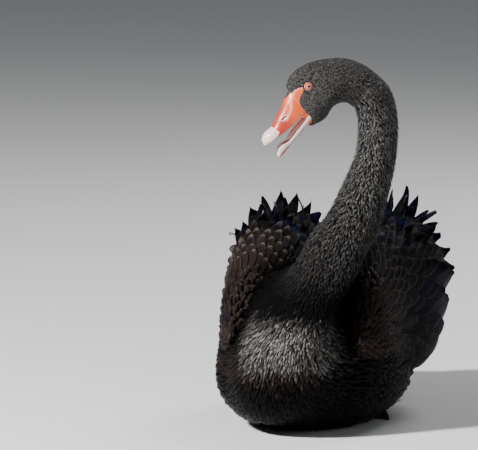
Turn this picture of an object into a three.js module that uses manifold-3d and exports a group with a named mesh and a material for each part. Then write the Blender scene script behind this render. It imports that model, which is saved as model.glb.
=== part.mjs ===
import * as THREE from "three";
import { mergeVertices } from "three/addons/utils/BufferGeometryUtils.js";
import Module from "manifold-3d";

// A life-size black swan resting on its belly, with its wings half raised, its neck drawn up and
// leaning to its left, its head turned to its right and its bill open.
// Millimetres. +Z is up, the bird faces -Y and +X is its left. The origin is on the floor under
// the belly.

// Driving dimensions
const GAP = 0.35; // clearance between pieces that touch
const FLOOR_CUT = 60; // depth of the block that trims the belly flat
const RING_SIDES = 20; // sides of the torso and neck
const TORSO_RINGS = 18;
const NECK_RINGS = 15;
const HEAD_RINGS = 11;

// The torso's side outline, from rump to breast: top y, z; underside y, z; half width; how far
// it leans to the left and by how many degrees
const TORSO = [
  [240, 142, 240, 110, 22, 0, 0],
  [222, 166, 228, 74, 54, 0, 0],
  [180, 188, 190, 34, 82, 0, 0],
  [115, 201, 120, 6, 104, 0, 0],
  [45, 206, 45, -7, 119, 0, 0],
  [-20, 206, -30, -9, 121, 0, 0],
  [-60, 207, -98, -5, 115, 0, 0],
  [-70, 208, -153, 9, 104, -2, 0],
  [-74, 209, -190, 18, 81, -6, 0],
  [-76, 211, -217, 38, 69, -5, 0],
  [-77, 213, -232, 68, 61, -1, 0],
  [-78, 217, -233, 104, 54, 5, 2],
  [-77, 222, -221, 146, 46, 17, 6],
  [-74, 228, -198, 187, 42, 37, 11],
  [-69, 236, -168, 220, 40, 48, 17],
  [-61, 248, -140, 250, 38, 55, 20],
];
const TORSO_WAIST = 0.37; // height of the widest line, as a share of each ring

// The neck's centre line, from the breast to the nape: x, y, z, radius across, radius fore and aft
const NECK = [
  [69, -84, 274, 34.5, 35],
  [79, -67, 308, 30.5, 31.5],
  [91.5, -54, 355, 25.8, 27],
  [94.5, -48, 400, 24.8, 25.5],
  [90, -50, 431, 24.8, 25.5],
  [83, -54, 446, 25, 25],
];
const HEAD_YAW = 64; // the head turns this far to the bird's right
const HEAD_AT = [20.8, -78, 451.4]; // origin of the head's own side view

// The head's side view, in millimetres forward and up of HEAD_AT: crown, throat, half width
const HEAD = [
  [-68.5, 25, -48.5, -26, 24.5],
  [-54.8, 33.2, -38.4, -19.8, 24.5],
  [-34.2, 39.6, -27.4, -19.8, 24.5],
  [-13.7, 39.6, -17, -25.5, 25],
  [8, 36, -8, -39.3, 24],
  [26, 28.4, 3, -46.2, 21],
  [39, 17.2, 11, -49.2, 17],
  [44.6, 4, 17, -47, 14.5],
];
// The upper bill: culmen, cutting edge, half width
const UPPER_BILL = [
  [36, 8, 14, -26, 14.5],
  [45.1, -10.1, 21.4, -32, 15.4],
  [51.4, -25, 31, -41.5, 14.8],
  [58.4, -37.9, 41.5, -50.8, 13.6],
  [63.6, -48.5, 51.4, -58.1, 13.2],
  [72.3, -56.2, 60, -63.4, 13.4],
  [76, -62, 66.3, -68.5, 12],
  [77, -67.2, 69.8, -71.8, 8.5],
  [74.6, -73.4, 71.8, -74.2, 3.4],
];
// The lower bill: rim, underside, half width
const LOWER_BILL = [
  [9, -28, 3, -34, 13.5],
  [18, -35, 11.5, -42, 14],
  [22, -41.5, 16.6, -48.4, 13.4],
  [27.5, -48.2, 22, -55, 12.6],
  [33.5, -56, 28, -62, 11.6],
  [42.5, -67.5, 37.5, -72.8, 10.6],
  [51.4, -72.2, 44.5, -81, 10.8],
  [55.8, -77, 49, -86.6, 9.4],
  [56.8, -83.5, 52, -89.6, 6],
  [55, -89, 53.4, -90.6, 2.4],
];
const TONGUE = [
  [14, -32.5, 12.4, -36, 4],
  [23.2, -39.6, 20.4, -44, 6],
  [29, -45.8, 25.6, -50.4, 6.2],
  [36, -53.4, 32, -57.8, 5.6],
  [41.4, -61.6, 38, -65, 4.4],
  [44, -66.4, 42.6, -68, 1.6],
];
// The edge of the bare red skin in side view, from the culmen round the eye's front to the gape
const LORE = [
  [45.6, -10.4],
  [42, -6.6],
  [37.4, -1.2],
  [31.8, 2.7],
  [26.2, 4.2],
  [24.4, 1.4],
  [25.8, -3.4],
  [28.6, -8.6],
  [29.7, -15.2],
  [26.9, -22.8],
  [23.4, -28.4],
  [19.6, -31.6],
];
const EYE = { forward: 18.5, up: 5.2, side: 16.4, radius: 5.6, lid: 1.5 };
const NOSTRIL = { from: [44.4, -32.6], to: [53.6, -41.2], width: 2.2, side: 12 };

// A wing's outer surface, from the wrist back: y, centre x, centre z, half width, rise, fall.
// Its last rows only guide the long feathers.
const WING = [
  [-142, 84, 126, 6, 12, 12],
  [-128, 84, 129, 15, 30, 27],
  [-98, 82, 131, 25, 58, 40],
  [-50, 80, 132, 36, 84, 55],
  [5, 77, 134, 49, 104, 68],
  [60, 73, 136, 63, 113, 76],
  [115, 70, 138, 65, 116, 78],
  [185, 61, 140, 52, 101, 68],
  [290, 44, 146, 34, 60, 44],
];
const LEFT_LIFT = 1.09; // the left wing is held a little higher
const LEFT_OUT = { by: 9, from: -10, to: -110 }; // and its front stands further out
const WING_INNER = 154; // degrees round the wing's arch, from its outer side
const WING_LOWER = -68;
const WING_SQUARE = { above: 1.18, below: 1.6 }; // above 1, the arch is squarer than an ellipse
const WING_SPLIT = 20; // y where the coverts' arm ends and the flight feathers' begins
const WING_END = 158;
const WING_TAPER = 30; // how far the arm's end is drawn in
const WING_SIDES = 14;
const WING_RINGS = 8;
// Tiers of wing feathers: y of the roots, number, length, rise, thickness, and how far the tips
// curl up at the wing's crest and out along its side
const TIERS = [
  { at: -122, count: 6, length: 60, rise: 6, thick: 1.5, crest: 0, side: 0 },
  { at: -82, count: 7, length: 76, rise: 7, thick: 1.6, crest: 2, side: 0 },
  { at: -34, count: 9, length: 88, rise: 7, thick: 1.7, crest: 8, side: 0 },
  { at: 30, count: 10, length: 98, rise: 6, thick: 1.8, crest: 21, side: 15 },
  { at: 74, count: 9, length: 150, rise: 2, thick: 1.9, crest: 23, side: 27 },
];
const COVERT_TIERS = 3; // how many of the tiers are rooted in the wing's front arm
const CREST = { at: 0.35, spread: 0.19, crowding: 0.4, taper: 0.42 };
const SIDE = { at: 0.62, spread: 0.13, right: 0.15 }; // some curl outwards at the side, most on the left
const PRIMARIES = { count: 4, at: 112, length: 178, half: 14, thick: 1.9, from: 0.5, to: 0.86 };

// The tail: a short rounded fan
const TAIL = { base: 236, height: 124, count: 9, length: 118, width: 18, spread: 34 };

const LEG = { x: 68, heel: 192, ankle: 14, foot: 84, radius: 7.5, toe: 118, splay: 15 };

const wasm = await Module();
wasm.setup();

const vec = (x, y, z) => new THREE.Vector3(x, y, z);
const rad = THREE.MathUtils.degToRad;
const range = (n) => Array.from({ length: n }, (_, i) => i);

// Smooth interpolation through rows of numbers, with the parameter running from 0 to 1
function track(rows) {
  const n = rows.length - 1;
  return (t) => {
    const at = THREE.MathUtils.clamp(t, 0, 1) * n;
    const i = Math.min(n - 1, Math.floor(at));
    const s = at - i;
    const p = rows[Math.max(0, i - 1)];
    const a = rows[i];
    const b = rows[i + 1];
    const q = rows[Math.min(n, i + 2)];
    return a.map((_, k) => {
      const ma = (b[k] - p[k]) / (i > 0 ? 2 : 1);
      const mb = (q[k] - a[k]) / (i + 2 <= n ? 2 : 1);
      const s2 = s * s;
      const s3 = s2 * s;
      return (
        (2 * s3 - 3 * s2 + 1) * a[k] +
        (s3 - 2 * s2 + s) * ma +
        (3 * s2 - 2 * s3) * b[k] +
        (s3 - s2) * mb
      );
    });
  };
}

// A closed three.js geometry as a manifold-3d solid
function solidOf(geometry) {
  const bare = new THREE.BufferGeometry();
  bare.setAttribute("position", geometry.getAttribute("position"));
  if (geometry.index) bare.setIndex(geometry.index);
  const merged = mergeVertices(bare, 1e-4);
  const all = merged.index.array;
  const kept = [];
  for (let i = 0; i < all.length; i += 3) {
    const [a, b, c] = [all[i], all[i + 1], all[i + 2]];
    if (a !== b && b !== c && a !== c) kept.push(a, b, c);
  }
  const build = (triangles) =>
    new wasm.Manifold(
      new wasm.Mesh({
        numProp: 3,
        vertProperties: merged.attributes.position.array,
        triVerts: new Uint32Array(triangles),
      }),
    );
  const made = build(kept);
  if (made.volume() > 0) return made;
  for (let i = 0; i < kept.length; i += 3)
    [kept[i + 1], kept[i + 2]] = [kept[i + 2], kept[i + 1]];
  return build(kept);
}

function geometryOf(solid) {
  const mesh = solid.getMesh();
  const points = new Float32Array(mesh.numVert * 3);
  for (let i = 0; i < mesh.numVert; i++)
    points.set(mesh.vertProperties.subarray(i * mesh.numProp, i * mesh.numProp + 3), i * 3);
  const geometry = new THREE.BufferGeometry();
  geometry.setAttribute("position", new THREE.BufferAttribute(points, 3));
  geometry.setIndex(new THREE.BufferAttribute(mesh.triVerts, 1));
  geometry.computeVertexNormals();
  return geometry;
}

const union = (solids) => solids.reduce((a, b) => a.add(b));

// The largest closed surface of a solid, which drops scraps and fills sealed hollows
function largest(solid) {
  const bodies = solid.decompose();
  return bodies.reduce((a, b) => (b.volume() > a.volume() ? b : a));
}

// The space round a solid, as its copies moved a little each way
function around(solid, by) {
  const ways = [[by, 0, 0], [-by, 0, 0], [0, by, 0], [0, -by, 0], [0, 0, by], [0, 0, -by]];
  return union([solid, ...ways.map((way) => solid.translate(way))]);
}

// A closed skin over rings of points, each end closed to its ring's middle
function skin(rings) {
  const sides = rings[0].length;
  const points = rings.flat();
  const first = points.length;
  for (const ring of [rings[0], rings.at(-1)])
    points.push(ring.reduce((a, b) => a.clone().add(b), vec(0, 0, 0)).divideScalar(sides));
  const faces = [];
  for (let i = 0; i + 1 < rings.length; i++)
    for (let j = 0; j < sides; j++) {
      const k = (j + 1) % sides;
      const [a, b, c, d] = [i * sides + j, i * sides + k, (i + 1) * sides + k, (i + 1) * sides + j];
      faces.push(a, b, c, a, c, d);
    }
  const last = (rings.length - 1) * sides;
  for (let j = 0; j < sides; j++) {
    const k = (j + 1) % sides;
    faces.push(first, k, j);
    faces.push(first + 1, last + j, last + k);
  }
  const geometry = new THREE.BufferGeometry().setFromPoints(points);
  geometry.setIndex(faces);
  return solidOf(geometry);
}

// A thin plate between an upper and a lower grid of points, split alike on both faces
function plate(upper, lower) {
  const rows = upper.length;
  const columns = upper[0].length;
  const points = [...upper.flat(), ...lower.flat()];
  const under = rows * columns;
  const at = (i, j) => i * columns + j;
  const faces = [];
  const quad = (a, b, c, d) => faces.push(a, b, c, a, c, d);
  for (let i = 0; i + 1 < rows; i++)
    for (let j = 0; j + 1 < columns; j++) {
      const [a, b, c, d] = [at(i, j), at(i, j + 1), at(i + 1, j + 1), at(i + 1, j)];
      quad(a, b, c, d);
      faces.push(under + a, under + c, under + b, under + a, under + d, under + c);
    }
  for (let i = 0; i + 1 < rows; i++) {
    const r = columns - 1;
    quad(at(i + 1, 0), under + at(i + 1, 0), under + at(i, 0), at(i, 0));
    quad(at(i, r), under + at(i, r), under + at(i + 1, r), at(i + 1, r));
  }
  for (let j = 0; j + 1 < columns; j++) {
    const r = rows - 1;
    quad(at(0, j), under + at(0, j), under + at(0, j + 1), at(0, j + 1));
    quad(at(r, j + 1), under + at(r, j + 1), under + at(r, j), at(r, j));
  }
  const geometry = new THREE.BufferGeometry().setFromPoints(points);
  geometry.setIndex(faces);
  return solidOf(geometry);
}

// Half width of a feather along its length, as a share of its greatest. It narrows from the
// share taper on, to the share tip at its end.
function vaneOutline(s, taper, tip) {
  const swell = Math.min(1, 0.45 + 1.6 * s);
  const past = Math.max(0, (s - taper) / (1 - taper));
  return swell * Math.max(tip, Math.sqrt(Math.max(0, 1 - past * past)));
}

// A feather vane. frame(s) gives a point on the shaft and the directions across and out of the
// vane there; the root end is the one at s = 0.
function vane(frame, shape) {
  const { half, thick, roll = 0, cup = 0, twist = 0, steps = 3, taper = 0.7, tip = 0.3 } = shape;
  const upper = [];
  const lower = [];
  for (const i of range(steps + 1)) {
    const s = i / steps;
    const { point, across, out } = frame(s);
    const shaft = frame(s + 0.02).point.sub(frame(s - 0.02).point).normalize();
    const turn = roll + twist * s * s;
    const side = across.clone().multiplyScalar(Math.cos(turn)).addScaledVector(out, Math.sin(turn));
    side.addScaledVector(shaft, -side.dot(shaft)).normalize();
    const face = side.clone().cross(shaft);
    if (face.dot(out) < 0) face.negate();
    const width = half * vaneOutline(s, taper, tip);
    const row = [-1, 0, 1].map((j) =>
      point.clone().addScaledVector(side, j * width).addScaledVector(face, -cup * width * j * j),
    );
    const body = [-1, 0, 1].map((j) => (thick * (j ? 0.45 : 1) * (1 - 0.45 * s)) / 2);
    upper.push(row.map((p, j) => p.clone().addScaledVector(face, body[j])));
    lower.push(row.map((p, j) => p.clone().addScaledVector(face, -body[j])));
  }
  return plate(upper, lower);
}

// Flesh: torso, neck and head are one skin on one line, cut apart afterwards
const YAW = rad(HEAD_YAW);
const headForward = vec(-Math.sin(YAW), -Math.cos(YAW), 0);
const headLeft = vec(Math.cos(YAW), -Math.sin(YAW), 0);
const headOrigin = vec(...HEAD_AT);

// A point of the head's side view in the bird's frame, off the middle plane by side
function headPoint(forward, up, side = 0) {
  return headOrigin.clone().addScaledVector(headForward, forward).addScaledVector(vec(0, 0, 1), up)
    .addScaledVector(headLeft, side);
}

// Each ring of the flesh: centre, offset to its top, offset to its underside, sideways direction
// and half width, as 13 numbers
function torsoRings() {
  return TORSO.map(([ty, tz, ly, lz, half, x, lean]) => {
    const top = vec(x, ty, tz);
    const low = vec(x, ly, lz);
    const centre = low.clone().lerp(top, TORSO_WAIST);
    const left = [Math.cos(rad(lean)), 0, -Math.sin(rad(lean))];
    return [...centre, ...top.sub(centre), ...low.sub(centre), ...left, half];
  });
}

function neckRings() {
  return NECK.map(([x, y, z, across, deep], i) => {
    const before = NECK[Math.max(0, i - 1)];
    const after = NECK[Math.min(NECK.length - 1, i + 1)];
    const along = vec(after[0] - before[0], after[1] - before[1], after[2] - before[2]).normalize();
    const turn = (YAW * i) / NECK.length;
    const left = vec(Math.cos(turn), -Math.sin(turn), 0);
    left.addScaledVector(along, -left.dot(along)).normalize();
    const back = along.clone().cross(left).multiplyScalar(deep);
    return [x, y, z, ...back, ...back.clone().negate(), ...left, across];
  });
}

function profileRings(rows, waist) {
  return rows.map(([tf, tu, lf, lu, half]) => {
    const top = headPoint(tf, tu);
    const low = headPoint(lf, lu);
    const centre = low.clone().lerp(top, waist);
    return [...centre, ...top.sub(centre), ...low.sub(centre), ...headLeft, half];
  });
}

// Points round one ring, grown by extra; square above 1 fills its shoulders
function ringPoints(row, sides, extra = 0, square = 1) {
  const centre = vec(row[0], row[1], row[2]);
  const top = vec(row[3], row[4], row[5]);
  const low = vec(row[6], row[7], row[8]);
  const left = vec(row[9], row[10], row[11]).normalize();
  const grow = (v) => v.clone().setLength(Math.max(0.2, v.length() + extra));
  return range(sides).map((i) => {
    const angle = (2 * Math.PI * i) / sides;
    const c = Math.sign(Math.cos(angle)) * Math.abs(Math.cos(angle)) ** (1 / square);
    const s = Math.sign(Math.sin(angle)) * Math.abs(Math.sin(angle)) ** (1 / square);
    const upDown = grow(s > 0 ? top : low).multiplyScalar(Math.abs(s));
    return centre.clone().addScaledVector(left, c * Math.max(0.2, row[12] + extra)).add(upDown);
  });
}

const fleshRows = [...torsoRings(), ...neckRings(), ...profileRings(HEAD, 0.5)];
const fleshTrack = track(fleshRows);
const TORSO_SHARE = (TORSO.length - 1) / (fleshRows.length - 1);
const NECK_SHARE = (TORSO.length + NECK.length) / (fleshRows.length - 1);
const fleshStops = [
  ...range(TORSO_RINGS).map((i) => (TORSO_SHARE * i) / TORSO_RINGS),
  ...range(NECK_RINGS).map((i) => TORSO_SHARE + ((NECK_SHARE - TORSO_SHARE) * i) / NECK_RINGS),
  ...range(HEAD_RINGS + 1).map((i) => NECK_SHARE + ((1 - NECK_SHARE) * i) / HEAD_RINGS),
];

function flesh(extra = 0) {
  return skin(fleshStops.map((t) => ringPoints(fleshTrack(t), RING_SIDES, extra, 1.12)));
}

const box = (w, d, h, x, y, z) => solidOf(new THREE.BoxGeometry(w, d, h).translate(x, y, z));
const belowFloor = box(900, 900, FLOOR_CUT, 0, 0, -FLOOR_CUT / 2);

// A thin slab across the flesh at one stop, to part two lengths of it
function slab(t) {
  const row = fleshTrack(t);
  const deep = vec(row[3] - row[6], row[4] - row[7], row[5] - row[8]);
  const along = deep.clone().cross(vec(row[9], row[10], row[11])).normalize();
  const size = 1.5 * Math.max(2 * row[12], deep.length());
  const cut = new THREE.BoxGeometry(size, size, GAP);
  cut.applyQuaternion(new THREE.Quaternion().setFromUnitVectors(vec(0, 0, 1), along));
  return solidOf(cut.translate(row[0], row[1], row[2]));
}

// A prism of the head's side view, right through the head
function headPrism(outline) {
  const shape = new THREE.Shape(outline.map(([f, u]) => new THREE.Vector2(f, u)));
  const prism = new THREE.ExtrudeGeometry(shape, { depth: 80, bevelEnabled: false }).translate(0, 0, -40);
  const place = new THREE.Matrix4().makeBasis(headForward, vec(0, 0, 1), headLeft.clone().negate());
  place.setPosition(headOrigin);
  return solidOf(prism.applyMatrix4(place));
}

function grown(outline, by) {
  const n = outline.length;
  const area = outline.reduce((sum, [x, y], i) => {
    const [p, q] = outline[(i + 1) % n];
    return sum + x * q - p * y;
  }, 0);
  return outline.map(([x, y], i) => {
    const [ax, ay] = outline[(i + n - 1) % n];
    const [bx, by2] = outline[(i + 1) % n];
    const e1 = new THREE.Vector2(x - ax, y - ay).normalize();
    const e2 = new THREE.Vector2(bx - x, by2 - y).normalize();
    const normal = new THREE.Vector2(e1.y + e2.y, -e1.x - e2.x).normalize();
    const out = Math.sign(area) * by;
    return [x + normal.x * out, y + normal.y * out];
  });
}

const upperOutline = [
  ...LORE,
  [30.5, -43],
  [41.5, -52.6],
  [51.4, -60.4],
  [60, -67],
  [68, -80],
  [95, -80],
  [95, -40],
  [60, -6],
];
const lowerOutline = [
  [19.3, -32.6],
  [16.6, -33.9],
  [13.8, -38.4],
  [11.6, -43.6],
  [2, -60],
  [40, -100],
  [66, -100],
  [66, -82],
  [50, -62],
  [40, -53],
  [30, -43.8],
];

function ball(point, radius, detail = 12) {
  const sphere = new THREE.SphereGeometry(radius, detail, Math.round(detail * 0.7));
  return solidOf(sphere.translate(...point));
}

function headPieces(headFlesh) {
  const upper = skin(sample(profileRings(UPPER_BILL, 0.06), 13).map((r) => ringPoints(r, 14, 0, 1.1)));
  const lower = skin(sample(profileRings(LOWER_BILL, 0.86), 12).map((r) => ringPoints(r, 14, 0, 1.25)));
  const tongueRows = sample(profileRings(TONGUE, 0.5), 7);
  const tongue = skin(tongueRows.map((r) => ringPoints(r, 10)));
  const trough = skin(tongueRows.map((r) => ringPoints(r, 10, 1.2)));
  const mouth = skin(tongueRows.map((r) => ringPoints(r, 10, GAP)));
  const cutUpper = headPrism(grown(upperOutline, GAP));
  const cutLower = headPrism(grown(lowerOutline, GAP));
  const whole = headFlesh.add(upper).add(lower);
  let head = whole.subtract(cutUpper).subtract(cutLower).subtract(mouth);
  let upperBill = headFlesh.add(upper).intersect(headPrism(upperOutline)).subtract(mouth);
  const lowerBill = headFlesh.add(lower).intersect(headPrism(lowerOutline)).subtract(cutUpper)
    .subtract(trough);
  const eyes = {};
  for (const [side, sign] of [["left", 1], ["right", -1]]) {
    const at = headPoint(EYE.forward, EYE.up, sign * EYE.side);
    const lid = new THREE.TorusGeometry(EYE.radius - 0.5, EYE.lid, 5, 12);
    lid.applyQuaternion(new THREE.Quaternion().setFromUnitVectors(vec(0, 0, 1), headLeft));
    const out = headPoint(EYE.forward, EYE.up, sign * (EYE.side + 3.4));
    head = head.add(solidOf(lid.translate(...out)));
    head = head.subtract(ball(at, EYE.radius + GAP, 12));
    eyes[side] = ball(at, EYE.radius, 12);
    const slot = new THREE.CapsuleGeometry(NOSTRIL.width / 2, 8, 3, 6);
    const a = headPoint(...NOSTRIL.from, sign * NOSTRIL.side);
    const b = headPoint(...NOSTRIL.to, sign * NOSTRIL.side);
    const dir = b.clone().sub(a).normalize();
    slot.applyQuaternion(new THREE.Quaternion().setFromUnitVectors(vec(0, 1, 0), dir));
    upperBill = upperBill.subtract(solidOf(slot.translate(...a.lerp(b, 0.5))));
  }
  head = head.subtract(cutUpper);
  return {
    head: largest(head),
    upper_bill: largest(upperBill),
    lower_bill: largest(lowerBill),
    tongue: largest(tongue),
    eye_left: eyes.left,
    eye_right: eyes.right,
  };
}

function sample(rows, count) {
  const at = track(rows);
  return range(count).map((i) => at(i / (count - 1)));
}

// Smooth interpolation through rows whose first number is where they stand
function trackBy(rows) {
  const slope = (i, k) => {
    const p = rows[Math.max(0, i - 1)];
    const q = rows[Math.min(rows.length - 1, i + 1)];
    return (q[k] - p[k]) / (q[0] - p[0]);
  };
  return (at) => {
    let i = rows.findIndex((row) => row[0] > at) - 1;
    if (i < 0) i = at < rows[0][0] ? 0 : rows.length - 2;
    const [a, b] = [rows[i], rows[i + 1]];
    const h = b[0] - a[0];
    const s = THREE.MathUtils.clamp((at - a[0]) / h, 0, 1);
    const s2 = s * s;
    const s3 = s2 * s;
    return a.map(
      (_, k) =>
        (2 * s3 - 3 * s2 + 1) * a[k] +
        (s3 - 2 * s2 + s) * h * slope(i, k) +
        (3 * s2 - 2 * s3) * b[k] +
        (s3 - s2) * h * slope(i + 1, k),
    );
  };
}

// Wings
const wingTrack = trackBy(WING);

// A point of a wing's arch at y, the angle being round from its outer side
function archPoint(sign, y, angle, extra = 0) {
  const [, cx, cz, half, rise, fall] = wingTrack(y);
  const power = 1 / (Math.sin(angle) > 0 ? WING_SQUARE.above : WING_SQUARE.below);
  const [c, s] = [Math.cos(angle), Math.sin(angle)].map((v) => Math.sign(v) * Math.abs(v) ** power);
  const lift = sign > 0 ? LEFT_LIFT : 1;
  const reach = (s > 0 ? rise * lift : fall) + extra;
  const front = THREE.MathUtils.smoothstep(-y, -LEFT_OUT.from, -LEFT_OUT.to);
  const out = sign > 0 ? LEFT_OUT.by * front : 0;
  return vec(sign * (cx + out + c * (half + extra)), y, cz + s * reach);
}

// The guide surface: y along the wing, b from its inner to its lower edge
function wingPoint(sign, y, b) {
  return archPoint(sign, y, rad(WING_INNER + (WING_LOWER - WING_INNER) * b));
}

function wingFrame(sign, y, b) {
  const [dy, db] = [1, 0.004];
  const point = wingPoint(sign, y, b);
  const along = wingPoint(sign, y + dy, b).sub(wingPoint(sign, y - dy, b)).normalize();
  const across = wingPoint(sign, y, b + db).sub(wingPoint(sign, y, b - db)).normalize();
  const out = across.clone().cross(along).multiplyScalar(sign).normalize();
  return { point, along, across, out };
}

// The feathered arm of one wing between two stops
function wingCore(sign, from, to, taper = 0, grow = 0) {
  return skin(
    range(WING_RINGS).map((i) => {
      const share = i / (WING_RINGS - 1);
      const inset = grow - taper * Math.max(0, 2.2 * share - 1.2) ** 2;
      return range(WING_SIDES).map((j) =>
        archPoint(sign, from + (to - from) * share, (2 * Math.PI * j) / WING_SIDES, inset),
      );
    }),
  );
}

// One feather laid back along the wing from (y, b). Towards its tip it slows and bends outwards
// by curl.
function wingFeather(sign, y, b, shape) {
  const { length, half, thick, rise, curl, twist, roll, drift = 0, sink = 5 } = shape;
  const bend = Math.min(0.55, curl / 60);
  return vane(
    (s) => {
      const run = length * (s - bend * Math.max(0, s) ** 3);
      const { point, across, out } = wingFrame(sign, y + run, b + drift * s);
      const height = -sink + (rise + sink) * s + curl * Math.max(0, s) ** 3;
      return { point: point.addScaledVector(out, height), across, out };
    },
    { half, thick, roll: roll * sign, cup: 0.1, twist: twist * sign,
      ...(curl > 12 ? { steps: 4, taper: CREST.taper, tip: 0.14 } : {}) },
  );
}

// A small repeatable wobble, so that like feathers differ a little
const wobble = (i, j) => Math.sin(12.9898 * i + 78.233 * j) * 0.5;

function tierFeathers(sign, tier, row, grow = 0) {
  const [, , , half, rise, fall] = wingTrack(tier.at + tier.length / 2);
  const girth = (Math.PI * (half + (rise + fall) / 2) * (WING_INNER - WING_LOWER)) / 360;
  return range(tier.count).map((i) => {
    const even = (i + 0.5) / tier.count;
    const turn = 2 * Math.PI * (even - CREST.at);
    const b = even - (CREST.crowding * Math.sin(turn)) / (2 * Math.PI);
    const spacing = (girth / tier.count) * (1 - CREST.crowding * Math.cos(turn));
    const crest = Math.exp(-(((b - CREST.at) / CREST.spread) ** 2));
    const side = Math.exp(-(((b - SIDE.at) / SIDE.spread) ** 2)) * (sign > 0 ? 1 : SIDE.right);
    const curl = tier.crest * crest * (1 + 0.7 * wobble(i, row + 3)) + tier.side * side;
    return wingFeather(sign, tier.at, b, {
      length: tier.length * (1 + 0.12 * wobble(i, row)),
      half: 0.66 * spacing + grow,
      thick: tier.thick + 2 * grow,
      rise: tier.rise * (1 + 0.1 * wobble(i, row)),
      curl,
      twist: (curl > 12 ? 0.9 : 0.1) * Math.sign(wobble(i, 5)),
      roll: 0.1,
    });
  });
}

// The long primaries lie folded under the others, their tips crossing over the rump
function primaries(sign) {
  return range(PRIMARIES.count).map((i) => {
    const share = i / (PRIMARIES.count - 1);
    const b = PRIMARIES.from + (PRIMARIES.to - PRIMARIES.from) * share;
    return wingFeather(sign, PRIMARIES.at, b, {
      length: PRIMARIES.length * (1 - 0.25 * share),
      half: PRIMARIES.half,
      thick: PRIMARIES.thick,
      rise: 2,
      curl: 0,
      twist: 0,
      roll: 0.12,
      drift: -0.12,
      sink: 16,
    });
  });
}

function wingPieces(name, sign, torsoCut) {
  const rear = wingCore(sign, WING_SPLIT + GAP, WING_END, WING_TAPER);
  const coverts = (grow) =>
    union([wingCore(sign, WING[0][0], WING_SPLIT, 0, grow),
      ...TIERS.slice(0, COVERT_TIERS).flatMap((t, i) => tierFeathers(sign, t, i, grow))]);
  const covers = coverts(0);
  const flight = TIERS.slice(COVERT_TIERS).flatMap((t, i) => tierFeathers(sign, t, i + 5));
  const long = union([rear, ...flight, ...primaries(sign)]);
  return {
    ["wing_" + name]: largest(covers.subtract(torsoCut)),
    ["wing_flight_" + name]: largest(long.subtract(torsoCut).subtract(coverts(GAP))),
  };
}

function tailPiece(torsoCut) {
  const rows = [
    [180, 0, 128, 60, 34],
    [215, 0, 126, 58, 30],
    [245, 0, 124, 50, 22],
    [275, 0, 122, 40, 12],
    [292, 0, 121, 28, 5],
  ];
  const core = skin(
    sample(rows, 8).map(([y, x, z, half, high]) =>
      range(16).map((i) => {
        const angle = (2 * Math.PI * i) / 16;
        return vec(x + half * Math.cos(angle), y, z + high * Math.sin(angle));
      }),
    ),
  );
  const feathers = range(TAIL.count).map((i) => {
    const share = (i + 0.5) / TAIL.count - 0.5;
    const angle = rad(2 * TAIL.spread * share);
    const dir = vec(Math.sin(angle), Math.cos(angle), 0);
    const across = vec(Math.cos(angle), -Math.sin(angle), 0);
    const root = vec(70 * share, TAIL.base + 12 * (1 - Math.abs(share)), TAIL.height);
    const stack = 4 - 9 * Math.abs(share);
    return vane(
      (s) => ({
        point: root.clone().addScaledVector(dir, TAIL.length * (1 - 0.25 * Math.abs(share)) * s)
          .add(vec(0, 0, stack + 3 * s - 8 * s * s)),
        across,
        out: vec(0, 0, 1),
      }),
      { half: TAIL.width, thick: 2, roll: 0.1 * Math.sign(-share), cup: 0.06, steps: 2, tip: 0.45 },
    );
  });
  return largest(union([core, ...feathers]).subtract(torsoCut));
}

// A leg folded under the body: the shank lies along the floor and the webbed foot points forward
function limb(points, sides = 8) {
  return skin(
    points.map(([x, y, z, across, high], i) => {
      const before = points[Math.max(0, i - 1)];
      const after = points[Math.min(points.length - 1, i + 1)];
      const along = vec(after[0] - before[0], after[1] - before[1], after[2] - before[2]).normalize();
      const side = vec(0, 0, 1).cross(along);
      if (side.length() < 0.2) side.set(1, 0, 0);
      side.normalize();
      const up = along.clone().cross(side).normalize();
      return range(sides).map((k) => {
        const angle = (2 * Math.PI * (k + 0.5)) / sides;
        return vec(x, y, z).addScaledVector(side, across * Math.cos(angle))
          .addScaledVector(up, high * Math.sin(angle));
      });
    }),
  );
}

// The hollow under the flank that clears one foot, as a low wedge round it
function footPocket(sign) {
  const { x, foot, toe, splay } = LEG;
  const reach = toe + 3;
  const at = (angle, length) =>
    new THREE.Vector2(sign * x + Math.sin(angle) * length, foot - Math.cos(angle) * length);
  const angles = [-1.35 * splay, 0, 1.35 * splay].map((turn) => rad(turn + 4 * sign));
  const outline = [
    new THREE.Vector2(sign * x - 9, foot + 10),
    at(angles[0], reach),
    at(angles[1], reach),
    at(angles[2], reach),
    new THREE.Vector2(sign * x + 9, foot + 10),
  ];
  const depth = 13;
  return solidOf(new THREE.ExtrudeGeometry(new THREE.Shape(outline), { depth, bevelEnabled: false })
    .translate(0, 0, -1));
}

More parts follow.
